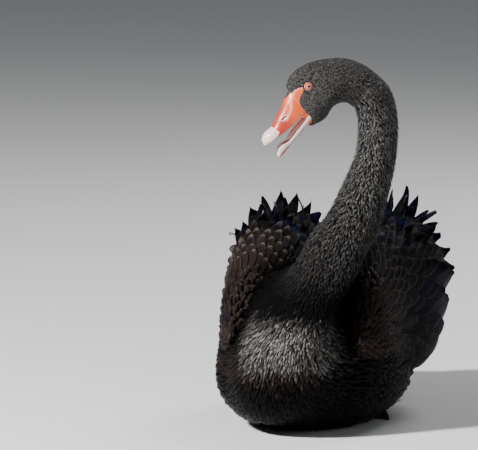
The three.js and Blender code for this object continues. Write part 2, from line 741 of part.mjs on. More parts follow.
function legPieces(sign) {
  const { x, heel, ankle, foot, radius: r, toe, splay } = LEG;
  const shank = limb([
    [sign * x, foot + 4, ankle - 3, r * 1.05, r * 0.9],
    [sign * x, foot + 30, ankle - 2, r * 0.8, r * 0.85],
    [sign * x, heel - 25, ankle, r * 0.85, r * 0.95],
    [sign * x, heel, ankle + 1, r * 1.25, r * 1.3],
    [sign * x, heel + 10, ankle + 6, r * 0.7, r * 0.8],
  ]);
  const thigh = limb([
    [sign * x, heel - 2, ankle + 8, r * 1.1, r * 1.1],
    [sign * (x - 6), heel - 40, ankle + 34, r * 1.7, r * 1.7],
    [sign * (x - 14), heel - 90, ankle + 58, r * 2.1, r * 2.1],
  ]);
  const bend = (k) => rad(splay * k + 4 * sign);
  const toes = [-1, 0, 1].map((k) => {
    const length = toe * (k === 0 ? 1 : 0.84);
    return limb([0, 0.35, 0.7, 0.93, 1].map((s, i) => {
      const fat = [6.6, 4.8, 4, 2.8, 0.8][i];
      const at = [sign * x + Math.sin(bend(k)) * length * s, foot - Math.cos(bend(k)) * length * s];
      return [...at, fat * 0.82, fat * 0.85, fat * 0.8];
    }), 6);
  });
  const web = plate(
    ...[3.4, 1.2].map((z) =>
      [0.1, 0.5, 0.78].map((s, i) =>
        [-1, -0.5, 0, 0.5, 1].map((k) => {
          const length = toe * s * (i === 2 && Math.abs(k) === 0.5 ? 0.9 : 1);
          return vec(sign * x + Math.sin(bend(k)) * length, foot - Math.cos(bend(k)) * length, z);
        }),
      ),
    ),
  );
  const leg = shank.add(thigh).subtract(belowFloor);
  const feet = union([...toes, web]).subtract(belowFloor).subtract(around(leg, GAP));
  return { leg, foot: feet, pocket: around(leg, GAP).add(footPocket(sign)) };
}

// Assembly
const nodes = {};
const whole = flesh().subtract(belowFloor);
const torsoCut = flesh(GAP);
const cuts = {
  breast: TORSO_SHARE - 1.5 / (fleshRows.length - 1),
  low: TORSO_SHARE + 1.5 / (fleshRows.length - 1),
  high: TORSO_SHARE + 3.5 / (fleshRows.length - 1),
  nape: NECK_SHARE + 0.2 / (fleshRows.length - 1),
};
const parted = Object.values(cuts).reduce((body, t) => body.subtract(slab(t)), whole).decompose();
const middleHeight = (body) => {
  const { min, max } = body.boundingBox();
  return (min[2] + max[2]) / 2;
};
const lengths = parted.filter((b) => b.volume() > 100).sort((a, b) => middleHeight(a) - middleHeight(b));
const legs = { left: legPieces(1), right: legPieces(-1) };
const legsCut = union(Object.values(legs).map(({ pocket }) => pocket));
nodes.torso = largest(lengths[0].subtract(legsCut));
nodes.neck_lower = lengths[1];
nodes.neck_middle = lengths[2];
nodes.neck_upper = lengths[3];
Object.assign(nodes, headPieces(lengths[4]));
nodes.tail = tailPiece(torsoCut);
for (const [name, sign] of [["left", 1], ["right", -1]]) {
  Object.assign(nodes, wingPieces(name, sign, torsoCut));
  nodes["leg_" + name] = largest(legs[name].leg);
  nodes["foot_" + name] = largest(legs[name].foot);
}

const FINISH = {
  feathers: { color: 0x17161a, roughness: 0.6, metalness: 0 },
  quills: { color: 0x1c1a1c, roughness: 0.5, metalness: 0 },
  bill: { color: 0xc23a2e, roughness: 0.35, metalness: 0 },
  tongue: { color: 0xd98f86, roughness: 0.5, metalness: 0 },
  eye: { color: 0x8e1410, roughness: 0.1, metalness: 0 },
  leg: { color: 0x26242a, roughness: 0.5, metalness: 0 },
};

function finishOf(name) {
  if (name.includes("bill")) return FINISH.bill;
  if (name.startsWith("tongue")) return FINISH.tongue;
  if (name.startsWith("eye")) return FINISH.eye;
  if (name.startsWith("leg") || name.startsWith("foot")) return FINISH.leg;
  if (name.includes("flight") || name === "tail") return FINISH.quills;
  return FINISH.feathers;
}

const swan = new THREE.Group();
for (const [name, solid] of Object.entries(nodes)) {
  const mesh = new THREE.Mesh(geometryOf(solid), new THREE.MeshStandardMaterial(finishOf(name)));
  mesh.name = name;
  swan.add(mesh);
}
export default swan;
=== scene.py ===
"""A life-size black swan resting on its belly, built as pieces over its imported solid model.

Run as an add-on, a panel in the 3D view's sidebar holds its sizes and colours and builds each
group of pieces. Run as a script, it builds them all. Lengths in the tables are millimetres in the
model's frame: the bird faces -Y, its left is +X and the floor is at z = 0.
"""

import math

import bmesh
import bpy
import numpy as np
from bpy.props import FloatProperty, FloatVectorProperty, PointerProperty
from mathutils import Matrix, Vector
from mathutils.kdtree import KDTree


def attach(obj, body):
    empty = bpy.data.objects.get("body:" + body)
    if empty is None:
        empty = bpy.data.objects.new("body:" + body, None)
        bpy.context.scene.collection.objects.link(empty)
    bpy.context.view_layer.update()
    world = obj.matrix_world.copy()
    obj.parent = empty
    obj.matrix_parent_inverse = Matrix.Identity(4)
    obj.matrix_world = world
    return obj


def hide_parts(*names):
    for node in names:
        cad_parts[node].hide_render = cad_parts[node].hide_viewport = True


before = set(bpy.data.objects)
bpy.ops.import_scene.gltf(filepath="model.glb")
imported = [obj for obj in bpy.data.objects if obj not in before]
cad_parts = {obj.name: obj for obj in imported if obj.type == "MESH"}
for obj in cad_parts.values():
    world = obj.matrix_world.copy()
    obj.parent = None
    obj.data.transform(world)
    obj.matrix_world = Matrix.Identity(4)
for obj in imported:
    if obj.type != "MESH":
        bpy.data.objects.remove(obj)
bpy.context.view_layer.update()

bl_info = {
    "name": "Black swan",
    "version": (1, 0, 0),
    "blender": (4, 5, 0),
    "location": "3D View > Sidebar > Swan",
    "description": "Builds a life-size black swan over its solid model",
    "category": "Add Mesh",
}

MM = 0.001
SIDES = ((1, "left"), (-1, "right"))
SEED = 7
# How far each stays off the floor, in millimetres
FLOOR_GAP = {"skin": 0.3, "coat": 0.2, "legs": 0.4}
SKIN_RINGS = (60, 60, 120)  # along the torso, neck and head
SKIN_SIDES = 112
UNWRAP_MARGIN = 0.02
FEATHER_PATCH = 0.003  # width of a small feather's patch of the unwrap

# Torso rings, rump to breast: top y, z; underside y, z; half width; shift left; lean in degrees
TORSO = [
    (240, 142, 240, 110, 22, 0, 0), (222, 166, 228, 74, 54, 0, 0), (180, 188, 190, 34, 82, 0, 0),
    (115, 201, 120, 6, 104, 0, 0), (45, 206, 45, -7, 119, 0, 0), (-20, 206, -30, -9, 121, 0, 0),
    (-60, 207, -98, -5, 115, 0, 0), (-70, 208, -153, 9, 104, -2, 0), (-74, 209, -190, 18, 81, -6, 0),
    (-76, 211, -217, 38, 69, -5, 0), (-77, 213, -232, 68, 61, -1, 0), (-78, 217, -233, 104, 54, 5, 2),
    (-77, 222, -221, 146, 46, 17, 6), (-74, 228, -198, 187, 42, 37, 11), (-69, 236, -168, 220, 40, 48, 17),
    (-61, 248, -140, 250, 38, 55, 20),
]
TORSO_WAIST = 0.37
# Neck centres, breast to nape: x, y, z, radius across, radius fore and aft
NECK = [
    (69, -84, 274, 34.5, 35), (79, -67, 308, 30.5, 31.5), (91.5, -54, 355, 25.8, 27),
    (94.5, -48, 400, 24.8, 25.5), (90, -50, 431, 24.8, 25.5), (83, -54, 446, 25, 25),
]
# The head's side view: crown forward, up; throat forward, up; half width
HEAD = [
    (-68.5, 25, -48.5, -26, 24.5), (-54.8, 33.2, -38.4, -19.8, 24.5), (-34.2, 39.6, -27.4, -19.8, 24.5),
    (-13.7, 39.6, -17, -25.5, 25), (8, 36, -8, -39.3, 24), (26, 28.4, 3, -46.2, 21),
    (39, 17.2, 11, -49.2, 17), (44.6, 4, 17, -47, 14.5),
]
TURN = 6.2832
MOST_BARE = 6.0  # depth inside the bare skin, in millimetres, past which nothing changes
HEAD_YAW = math.radians(64)
HEAD_AT = np.array([20.8, -78, 451.4])
HEAD_FORWARD = np.array([-math.sin(HEAD_YAW), -math.cos(HEAD_YAW), 0])
HEAD_LEFT = np.array([math.cos(HEAD_YAW), -math.sin(HEAD_YAW), 0])
UP = np.array([0.0, 0, 1])
UP_AXIS = Vector(UP)
UPPER_BILL = [
    (36, 8, 14, -26, 14.5), (45.1, -10.1, 21.4, -32, 15.4), (51.4, -25, 31, -41.5, 14.8),
    (58.4, -37.9, 41.5, -50.8, 13.6), (63.6, -48.5, 51.4, -58.1, 13.2), (72.3, -56.2, 60, -63.4, 13.4),
    (76, -62, 66.3, -68.5, 12), (77, -67.2, 69.8, -71.8, 8.5), (74.6, -73.4, 71.8, -74.2, 3.4),
]
LOWER_BILL = [
    (9, -28, 3, -34, 13.5), (18, -35, 11.5, -42, 14), (22, -41.5, 16.6, -48.4, 13.4),
    (27.5, -48.2, 22, -55, 12.6), (33.5, -56, 28, -62, 11.6), (42.5, -67.5, 37.5, -72.8, 10.6),
    (51.4, -72.2, 44.5, -81, 10.8), (55.8, -77, 49, -86.6, 9.4), (56.8, -83.5, 52, -89.6, 6),
    (55, -89, 53.4, -90.6, 2.4),
]
TONGUE = [
    (14, -32.5, 12.4, -36, 4), (23.2, -39.6, 20.4, -44, 6), (29, -45.8, 25.6, -50.4, 6.2),
    (36, -53.4, 32, -57.8, 5.6), (41.4, -61.6, 38, -65, 4.4), (44, -66.4, 42.6, -68, 1.6),
]
# The bare red skin's edge in side view, from the culmen by the eye to the gape, then far outside
LORE = [
    (45.6, -10.4), (42, -6.6), (37.4, -1.2), (31.8, 2.7), (26.2, 4.2), (24.4, 1.4), (25.8, -3.4),
    (28.6, -8.6), (29.7, -15.2), (26.9, -22.8), (23.4, -28.4), (18.4, -31.6), (14.2, -35.4),
    (12, -39.6), (11.4, -43.6), (30, -75), (95, -80), (95, -40), (60, -6),
]
# The whitish end of the upper bill in side view
BILL_END = [
    (72, -43.5), (63.6, -49.8), (55.6, -55.8), (59, -60.6), (63.4, -65.4), (68, -68.8), (71.5, -72.2),
    (73, -76), (95, -80), (95, -45),
]
# The lower edge of the forehead's down in side view: shares of forward and up that add up to its place
SKIN_BROW = (0.746, 0.666, 27)
RIDGE_BROW = (0.785, 0.62, 28.9)
# Direction down the bill in side view: shares of forward and up
DOWN_BILL = (0.84, -0.54)
# The painted highlight in a streak from the eye down the bill, and the nostril's slit, in side view
HIGHLIGHT_STREAK = [(25.4, 4), (34, 1.2), (39.1, -8), (40.4, -16.5), (40.4, -24.9), (44.3, -34.8), (47, -39.9)]
NOSTRIL = [(46.6, -34.6), (51.6, -39.3)]
# The eyeball's centre and radius, and how far its opening lies out from its centre
EYE = {"forward": 18.5, "up": 5.2, "side": 16.4, "radius": 5.6, "opening": 3.4}
# Wing arch, wrist to tip: y, centre x, centre z, half width, rise, fall
WING = [
    (-149, 84, 125, 1, 1.5, 1.5), (-142, 84, 126, 6, 12, 12), (-128, 84, 129, 15, 30, 27),
    (-98, 82, 131, 25, 58, 40), (-50, 80, 132, 36, 84, 55), (5, 77, 134, 49, 104, 68),
    (60, 73, 136, 63, 113, 76), (115, 70, 138, 65, 116, 78), (185, 61, 140, 52, 101, 68),
    (290, 44, 146, 34, 60, 44),
]
# Where a wing's rows of coverts and quills root. At stops along it: their length, spacing across,
# rise, curl on the crest and flare at the side
WING_ROWS = [-88, -75, -61, -46, -30, -14, 3, 20, 38, 57, 77]
ROW_STOPS = [-142, -122, -82, -34, 30, 74]
ROW_NUMBERS = {
    "length": [26, 34, 52, 74, 96, 150], "space": [6, 7, 10, 14, 17, 20], "rise": [3, 4.5, 6, 6.5, 6, 2],
    "crest": [0, 0, 2, 8, 21, 23], "side": [0, 0, 0, 0, 15, 35],
}
TINT_STOPS = [-90, -50, -14, 20]
# Place and width of the crest and of the side's flared quills, as shares of a wing's girth from its
# inner to its lower edge
CREST, CREST_WIDTH = 0.35, 0.19
FLARE, FLARE_WIDTH = 0.62, 0.13
VANE_ROWS, VANE_COLUMNS = 13, 6
# Tail layers: feathers, length, root y, lift, half width, spread in degrees
TAIL = [
    (15, 118, 236, 0, 15, 34), (13, 88, 228, 5, 13, 31), (12, 70, 218, 9, 11, 29),
    (11, 56, 206, 13, 10, 28), (11, 70, 222, -8, 13, 30),
]
# The tail's core: y, x, z, half width, half height
TAIL_CORE = [
    (180, 0, 128, 60, 34), (215, 0, 126, 58, 30), (245, 0, 124, 50, 22), (275, 0, 122, 40, 12),
    (292, 0, 121, 28, 5),
]
LEFT_LIFT = 1.09  # the left wing is held higher
LEFT_OUT = 9  # and further out at its front, in millimetres
WING_INNER, WING_LOWER = math.radians(154), math.radians(-68)
WING_SQUARE = (1.18, 1.6)  # squareness of its upper and lower half
LEG = {"x": 68, "heel": 192, "ankle": 14, "foot": 84, "radius": 7.5, "toe": 118, "splay": 15}
# Lights: place, width, and share of the main light's power
LIGHTS = (("key", (-2.0, -2.1, 2.4), 0.4, 1.0), ("fill", (2.2, -1.4, 1.3), 2.2, 0.03),
          ("rim", (0.6, 2.4, 2.2), 1.4, 0.14))
# Camera: degrees round and above the bird, and metres
CAMERA = {"round": 14, "above": 7, "distance": 12, "target right": -0.1045, "target up": 0.2573,
          "view width": 0.6405}


# Shapes shared by the pieces

def track(rows, t):
    """Smooth interpolation through rows of numbers, with t running from 0 to 1."""
    rows = np.asarray(rows, float)
    n = len(rows) - 1
    at = np.clip(np.asarray(t, float), 0, 1) * n
    i = np.minimum(n - 1, np.floor(at).astype(int))
    s = (at - i)[..., None]
    a, b, p, q = rows[i], rows[i + 1], rows[np.maximum(0, i - 1)], rows[np.minimum(n, i + 2)]
    ma = (b - p) / np.where(i > 0, 2, 1)[..., None]
    mb = (q - a) / np.where(i + 2 <= n, 2, 1)[..., None]
    return hermite(a, b, ma, mb, s)


def hermite(a, b, ma, mb, s):
    return ((2 * s**3 - 3 * s**2 + 1) * a + (s**3 - 2 * s**2 + s) * ma
            + (3 * s**2 - 2 * s**3) * b + (s**3 - s**2) * mb)


def track_by(rows, at):
    """Smooth interpolation through rows whose first number is where they stand."""
    rows = np.asarray(rows, float)
    x = rows[:, 0]
    at = np.asarray(at, float)
    i = np.clip(np.searchsorted(x, at, side="right") - 1, 0, len(x) - 2)
    last = len(x) - 1
    slope = [(rows[min(last, k + 1)] - rows[max(0, k - 1)]) / (x[min(last, k + 1)] - x[max(0, k - 1)])
             for k in range(last + 1)]
    slope = np.array(slope)
    h = (x[i + 1] - x[i])[..., None]
    s = np.clip((at - x[i])[..., None] / h, 0, 1)
    return hermite(rows[i], rows[i + 1], slope[i] * h, slope[i + 1] * h, s)


def unit(v):
    return v / np.maximum(1e-9, np.linalg.norm(v, axis=-1, keepdims=True))


def soft_step(v, start, end):
    """A smooth change from 0 to 1 as v goes from start to end."""
    s = np.clip((v - start) / (end - start), 0, 1)
    return s * s * (3 - 2 * s)


def mound(away, width):
    """Height of a soft mound, 1 at its middle, at a distance away from there."""
    return np.exp(-(away / width)**2)


def brow_place(line, forward, up):
    return forward * line[0] + up * line[1]


def down_bill(forward, up):
    return forward * DOWN_BILL[0] + up * DOWN_BILL[1]


def head_point(forward, up, side=0.0):
    """A point of the head's side view in the model's frame, off its middle plane by side."""
    forward, up, side = np.broadcast_arrays(*[np.asarray(v, float)[..., None] for v in (forward, up, side)])
    return HEAD_AT + HEAD_FORWARD * forward + UP * up + HEAD_LEFT * side


def profile_rows(rows, waist):
    """Rings across a side view of the head: centre, to the top, to the underside, left, half width."""
    out = []
    for tf, tu, lf, lu, half in rows:
        top, low = head_point(tf, tu), head_point(lf, lu)
        centre = low + (top - low) * waist
        out.append(np.concatenate([centre, top - centre, low - centre, HEAD_LEFT, [half]]))
    return out


def torso_rows():
    out = []
    for ty, tz, ly, lz, half, x, lean in TORSO:
        top, low = np.array([x, ty, tz], float), np.array([x, ly, lz], float)
        centre = low + (top - low) * TORSO_WAIST
        lean = math.radians(lean)
        left = [math.cos(lean), 0, -math.sin(lean)]
        out.append(np.concatenate([centre, top - centre, low - centre, left, [half]]))
    return out


def neck_rows():
    out = []
    for i, (x, y, z, wide, deep) in enumerate(NECK):
        before, after = NECK[max(0, i - 1)], NECK[min(len(NECK) - 1, i + 1)]
        along = unit(np.array(after[:3], float) - np.array(before[:3], float))
        turn = HEAD_YAW * i / len(NECK)
        left = np.array([math.cos(turn), -math.sin(turn), 0])
        left = unit(left - along * left.dot(along))
        back = np.cross(along, left) * deep
        out.append(np.concatenate([[x, y, z], back, -back, left, [wide]]))
    return out


FLESH = torso_rows() + neck_rows() + profile_rows(HEAD, 0.5)
TORSO_SHARE = (len(TORSO) - 1) / (len(FLESH) - 1)
NECK_SHARE = (len(TORSO) + len(NECK)) / (len(FLESH) - 1)


def ring_point(row, angle, inset=0.0, square=1.12):
    """Points of rings at angles round them from their left side, drawn in by inset."""
    row, angle = np.asarray(row), np.asarray(angle)[..., None]
    inset = np.asarray(inset, float)[..., None] if np.ndim(inset) else inset
    c, s = np.cos(angle), np.sin(angle)
    c, s = np.sign(c) * np.abs(c) ** (1 / square), np.sign(s) * np.abs(s) ** (1 / square)
    centre, top, low, left, half = np.split(row, [3, 6, 9, 12], axis=-1)
    reach = np.where(s > 0, top, low)
    length = np.maximum(1e-6, np.linalg.norm(reach, axis=-1, keepdims=True))
    reach = reach / length * np.maximum(0.2, length - inset)
    return centre + unit(left) * c * np.maximum(0.2, half - inset) + reach * np.abs(s)


def coat_depth(t):
    """How far the skin lies under the feathers' surface, in millimetres, along the flesh."""
    stops = [0, TORSO_SHARE * 0.8, TORSO_SHARE, NECK_SHARE, NECK_SHARE + 0.12, 1]
    return np.interp(t, stops, [6, 5, 3.6, 2.6, 1.2, 0.7])


def flesh_point(t, angle, inset=None):
    t, angle = np.broadcast_arrays(np.asarray(t, float), np.asarray(angle, float))
    return ring_point(track(FLESH, t), angle, coat_depth(t) if inset is None else inset)


def arch_point(sign, y, angle, extra=0.0):
    """A point of a wing's arch at y, the angle being round from its outer side."""
    row = track_by(WING, y)
    power = 1 / np.where(np.sin(angle) > 0, *WING_SQUARE)
    c, s = [np.sign(v) * np.abs(v) ** power for v in (np.cos(angle), np.sin(angle))]
    lift = LEFT_LIFT if sign > 0 else 1
    reach = np.where(s > 0, row[..., 4] * lift, row[..., 5]) + extra
    out = LEFT_OUT * soft_step(np.asarray(y, float), -10, -110) if sign > 0 else 0
    x = sign * (row[..., 1] + out + c * (row[..., 3] + extra))
    return np.stack([x, np.broadcast_to(y, x.shape), row[..., 2] + s * reach], -1)


def wing_frame(sign, y, b):
    """Point, direction across, and direction out of a wing's guide surface at y and b."""
    y, b = np.broadcast_arrays(np.asarray(y, float), np.asarray(b, float))
    at = lambda yy, bb: arch_point(sign, yy, WING_INNER + (WING_LOWER - WING_INNER) * bb)
    along = unit(at(y + 1, b) - at(y - 1, b))
    across = unit(at(y, b + 0.004) - at(y, b - 0.004))
    return at(y, b), across, unit(np.cross(across, along)) * sign


# Materials

class Value:
    """A socket's value in a material. Python's operators on it add Math nodes."""

    def __init__(self, finish, socket):
        self.finish = finish
        self.socket = socket

    def math(self, operation, *others):
        return self.finish.node("ShaderNodeMath", {"operation": operation}, dict(enumerate((self, *others))))

    def reversed_math(self, operation, other):
        return self.finish.node("ShaderNodeMath", {"operation": operation}, {0: other, 1: self})

    def __add__(self, other):
        return self.math("ADD", other)

    def __radd__(self, other):
        return self.reversed_math("ADD", other)

    def __sub__(self, other):
        return self.math("SUBTRACT", other)

    def __rsub__(self, other):
        return self.reversed_math("SUBTRACT", other)

    def __mul__(self, other):
        return self.math("MULTIPLY", other)

    def __rmul__(self, other):
        return self.reversed_math("MULTIPLY", other)

    def __abs__(self):
        return self.math("ABSOLUTE")

    def most(self, other):
        return self.math("MAXIMUM", other)

    def sine(self):
        return self.math("SINE")

    def step(self, start, end, low=0.0, high=1.0):
        """A smooth change from low to high as this value goes from start to end."""
        if start > end:
            start, end, low, high = end, start, high, low
        settings = {"interpolation_type": "SMOOTHSTEP"}
        return self.finish.node("ShaderNodeMapRange", settings, {0: self, 1: start, 2: end, 3: low, 4: high})

    def output(self, name):
        """Another output of the node that this value comes from."""
        return Value(self.finish, self.socket.node.outputs[name])


class Finish:
    """A new material with one Principled shader."""

    def __init__(self, name):
        self.material = bpy.data.materials.new(name)
        self.material.use_nodes = True
        self.tree = self.material.node_tree
        self.shader = self.tree.nodes["Principled BSDF"]

    def node(self, kind, settings=None, sockets=None, output=0):
        """Add a node, set it, then set or link its sockets, and return one output."""
        made = self.tree.nodes.new(kind)
        for name, value in (settings or {}).items():
            setattr(made, name, value)
        for key, value in (sockets or {}).items():
            self.fill(made.inputs[key], value)
        return Value(self, made.outputs[output])

    def fill(self, socket, value):
        if isinstance(value, Value):
            self.tree.links.new(value.socket, socket)
        elif socket.type == "RGBA":
            socket.default_value = (*tuple(value)[:3], 1)
        else:
            socket.default_value = value

    def shade(self, **sockets):
        """Set or link the shader's own sockets, named with _ for spaces."""
        for name, value in sockets.items():
            self.fill(self.shader.inputs[name.replace("_", " ")], value)
        return self.material

    def place(self):
        """Object coordinates, in metres."""
        return self.node("ShaderNodeTexCoord", output="Object")

    def parts(self, vector):
        xyz = self.node("ShaderNodeSeparateXYZ", sockets={0: vector})
        return xyz, xyz.output("Y"), xyz.output("Z")

    def vane(self):
        """Across (-1 to 1) and along (0 to 1) a feather, from its own UV map."""
        x, y, _ = self.parts(self.node("ShaderNodeUVMap", {"uv_map": "vane"}))
        return x * 2 - 1, y

    def number(self, name):
        """A number kept with the mesh."""
        return self.node("ShaderNodeAttribute", {"attribute_name": name}, output="Fac")

    def noise(self, vector, scale, detail):
        """Noise of about scale blotches a metre."""
        sockets = {"Vector": vector, "Scale": scale, "Detail": detail, "Roughness": 0.55}
        return self.node("ShaderNodeTexNoise", sockets=sockets)

    def mix(self, share, a, b):
        """Mix two colours by a share."""
        settings = {"data_type": "RGBA", "clamp_factor": True}
        return self.node("ShaderNodeMix", settings, {0: share, 6: a, 7: b}, output=2)

    def cracks(self, vector, scale):
        """Distance from the borders of cells, about scale of them a metre."""
        sockets = {"Vector": vector, "Scale": scale}
        return self.node("ShaderNodeTexVoronoi", {"feature": "DISTANCE_TO_EDGE"}, sockets)

    def bump(self, height, depth):
        """A bump's normal; depth is in metres for a height of 1."""
        return self.node("ShaderNodeBump", sockets={"Height": height, "Distance": depth, "Strength": 1.0})

    def flesh(self, share):
        """Let light into the surface as into living skin, red light deepest."""
        depths = (0.004, 0.0012, 0.0006)
        self.shade(Subsurface_Weight=share, Subsurface_Radius=depths, Subsurface_Scale=0.5)


def feather_finish(name, looks, barbs, gloss, long=False):
    """Black feather with paler edges, partly painted light, and painted sheen. The mesh keeps each feather's
    tone, pale edges with painted light, brownness and painted sheen.
    """
    f = Finish(name)
    across, along = f.vane()
    tone, fringe, brown, silver = [f.number(key) for key in ("tone", "fringe", "brown", "silver")]
    place = f.place()
    patch = f.noise(place, 22, 2)
    fine = f.noise(place, 420, 2)
    side = abs(across)
    # barbs slant from the shaft towards the tip
    slant = along * barbs - side * barbs * 0.45 + tone * 9
    barb = (slant * TURN).sine() * 0.5 + 0.5
    shaft = side.step(0.05, 0.0) * along.step(1.0, 0.6)
    # a ragged pale rim along the edge and the tip, partly the feather's own edge and partly painted light
    ragged = fine * 0.16 - 0.08
    edge = (side * 0.62 + 0.36 + ragged).most(along + ragged)
    rim = edge.step(0.8, 0.97) * fringe
    dark = f.mix(tone * 0.8 + patch * 0.3, looks.black, looks.black_lit)
    warm = f.mix(brown, dark, looks.brown)
    pale = f.mix(brown * 0.7 + tone * 0.3, looks.grey_edge, looks.brown_edge)
    # the pale edges turn to the painted sheen's grey where it lies
    pale = f.mix(silver, pale, looks.silver)
    colour = f.mix(rim * (0.75 + fine * 0.5), warm, pale)
    # painted sheen in streaks over the outer half
    streak = (fine * 2.4 - 0.58).most(0) * along.step(0.15, 0.6) * (1 - side * 0.5)
    colour = f.mix(silver * streak, colour, looks.silver)
    colour = f.mix(shaft * 0.3, colour, looks.shaft)
    colour = f.mix(barb * 0.16, colour, (0, 0, 0))
    if long:
        # painted blue sheen, white quills and pale undersides
        colour = f.mix(patch.step(0.46, 0.68) * 0.34 * (1 - brown), colour, looks.blue)
        colour = f.mix(f.number("white"), colour, looks.white)
        colour = f.mix(f.number("under") * (0.75 + fine * 0.3), colour, looks.underside)
    rough = 0.22 + fine * 0.14 + rim * 0.14 + tone * 0.1
    relief = f.bump(barb * 0.5 + shaft * 1.2 + fine * 0.4, 0.00022)
    return f.shade(Base_Color=colour, Roughness=rough, Normal=relief, Specular_IOR_Level=gloss)


# Meshes

def mesh_object(name, mesh, material):
    mesh.materials.append(material)
    piece = bpy.data.objects.new(name, mesh)
    bpy.context.scene.collection.objects.link(piece)
    return piece


def bmesh_object(name, bm, material, smooth=True):
    """A finished piece from a bmesh."""
    bmesh.ops.recalc_face_normals(bm, faces=bm.faces)
    mesh = bpy.data.meshes.new(name)
    bm.to_mesh(mesh)
    bm.free()
    mesh.polygons.foreach_set("use_smooth", [smooth] * len(mesh.polygons))
    return mesh_object(name, mesh, material)


def tube(bm, rings):
    """Loft through rings of points, an array of rings by points by 3 in metres, and close its ends."""
    loops = []
    for ring in rings:
        made = bmesh.ops.create_circle(bm, segments=len(ring), radius=1)["verts"]
        for vert, at in zip(made, ring):
            vert.co = at
        loops.append(made)
    for a, b in zip(loops, loops[1:]):
        edges = {e for v in a for e in v.link_edges if e.other_vert(v) in a}
        edges |= {e for v in b for e in v.link_edges if e.other_vert(v) in b}
        bmesh.ops.bridge_loops(bm, edges=list(edges))
    bmesh.ops.holes_fill(bm, edges=[e for e in bm.edges if e.is_boundary], sides=0)
    return loops


def array_object(name, points, faces, material, uvs, numbers):
    """A finished piece of many like shapes. Faces come in groups of equal size, the rest by point."""
    mesh = bpy.data.meshes.new(name)
    sizes = np.concatenate([np.full(len(group), group.shape[1], np.int32) for group in faces])
    corners = np.concatenate([group.ravel() for group in faces]).astype(np.int32)
    mesh.vertices.add(len(points))
    mesh.vertices.foreach_set("co", np.asarray(points, np.float32).ravel())
    mesh.loops.add(len(corners))
    mesh.loops.foreach_set("vertex_index", corners)
    mesh.polygons.add(len(sizes))
    mesh.polygons.foreach_set("loop_start", np.concatenate([[0], np.cumsum(sizes)[:-1]]).astype(np.int32))
    mesh.polygons.foreach_set("loop_total", sizes)
    mesh.polygons.foreach_set("use_smooth", np.ones(len(sizes), bool))
    for key, values in uvs.items():
        layer = mesh.uv_layers.new(name=key)
        layer.uv.foreach_set("vector", np.asarray(values, np.float32)[corners].ravel())
    for key, values in numbers.items():
        layer = mesh.attributes.new(key, "FLOAT", "POINT")
        layer.data.foreach_set("value", np.asarray(values, np.float32).ravel())
    mesh.update(calc_edges=True)
    mesh.validate()
    return mesh_object(name, mesh, material)


def finish_piece(piece, slot, *nodes):
    """Ride a piece on the swan, in the place of the solids that it stands for."""
    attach(piece, "root")
    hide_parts(*nodes)
    return piece


def vane_width(along):
    """Share of its full width that a small feather has along its length."""
    root = 1 - 0.5 * np.clip(1 - along / 0.4, 0, 1) ** 2
    end = np.clip((along - 0.35) / 0.65, 0, 1)
    return root * np.maximum(0, 1 - end**2.2) ** (1 / 2.2)


# Skin and small feathers

def unwrapped(u, v):
    """Places on an unwrap whose margins are kept free."""
    return np.stack([UNWRAP_MARGIN + (1 - 2 * UNWRAP_MARGIN) * share for share in (u, v)], -1)


def skin_unwrap(t, angle):
    """Where a point of the flesh lies on the skin's own unwrap, even along its length."""
    knots = np.linspace(0, 1, 141)
    spine = flesh_point(knots, -0.4) + flesh_point(knots, 0.4 + math.pi)
    length = np.concatenate([[0], np.cumsum(np.linalg.norm(np.diff(spine, axis=0), axis=1))])
    along = np.interp(t, knots, length / length[-1])
    round_it = np.mod(np.asarray(angle) + math.pi / 2, 2 * math.pi) / (2 * math.pi)
    return unwrapped(round_it, along)


def head_place(points):
    """Forward, up and side of points in the head's own frame, in millimetres."""
    off = np.asarray(points) - HEAD_AT
    return off @ HEAD_FORWARD, off @ UP, off @ HEAD_LEFT


def from_line(stops, forward, up):
    """Distance from a line through stops in side view."""
    found = np.full(np.shape(forward), 1e9)
    for (ax, ay), (bx, by) in zip(stops, stops[1:]):
        dx, dy = bx - ax, by - ay
        s = np.clip(((forward - ax) * dx + (up - ay) * dy) / (dx * dx + dy * dy), 0, 1)
        found = np.minimum(found, np.hypot(forward - ax - s * dx, up - ay - s * dy))
    return found


def inside_depth(outline, forward, up):
    """Distance from a closed outline's edge in side view, positive inside."""
    closed = [*outline, outline[0]]
    nearest = from_line(closed, forward, up)
    inside = np.zeros(np.shape(forward), bool)
    for (ax, ay), (bx, by) in zip(closed, closed[1:]):
        crosses = (ay > up) != (by > up)
        inside ^= crosses & (forward < ax + (up - ay) * (bx - ax) / (by - ay or 1e-9))
    return np.where(inside, nearest, -nearest)


# how much of the painted highlight streak lies at a place in side view
def highlight_share(forward, up):
    return mound(from_line(HIGHLIGHT_STREAK, forward, up), 1.5)


def bareness(points):
    """How deep points lie inside the bare red skin before the eye, negative under feathers."""
    forward, up, _ = head_place(points)
    return inside_depth(LORE, forward, up)


def from_eye(points):
    """Distance from the middle of the nearer eye's opening."""
    forward, up, side = head_place(points)
    out = np.abs(side) - EYE["side"] - EYE["opening"]
    return np.sqrt((forward - EYE["forward"])**2 + (up - EYE["up"])**2 + out**2)


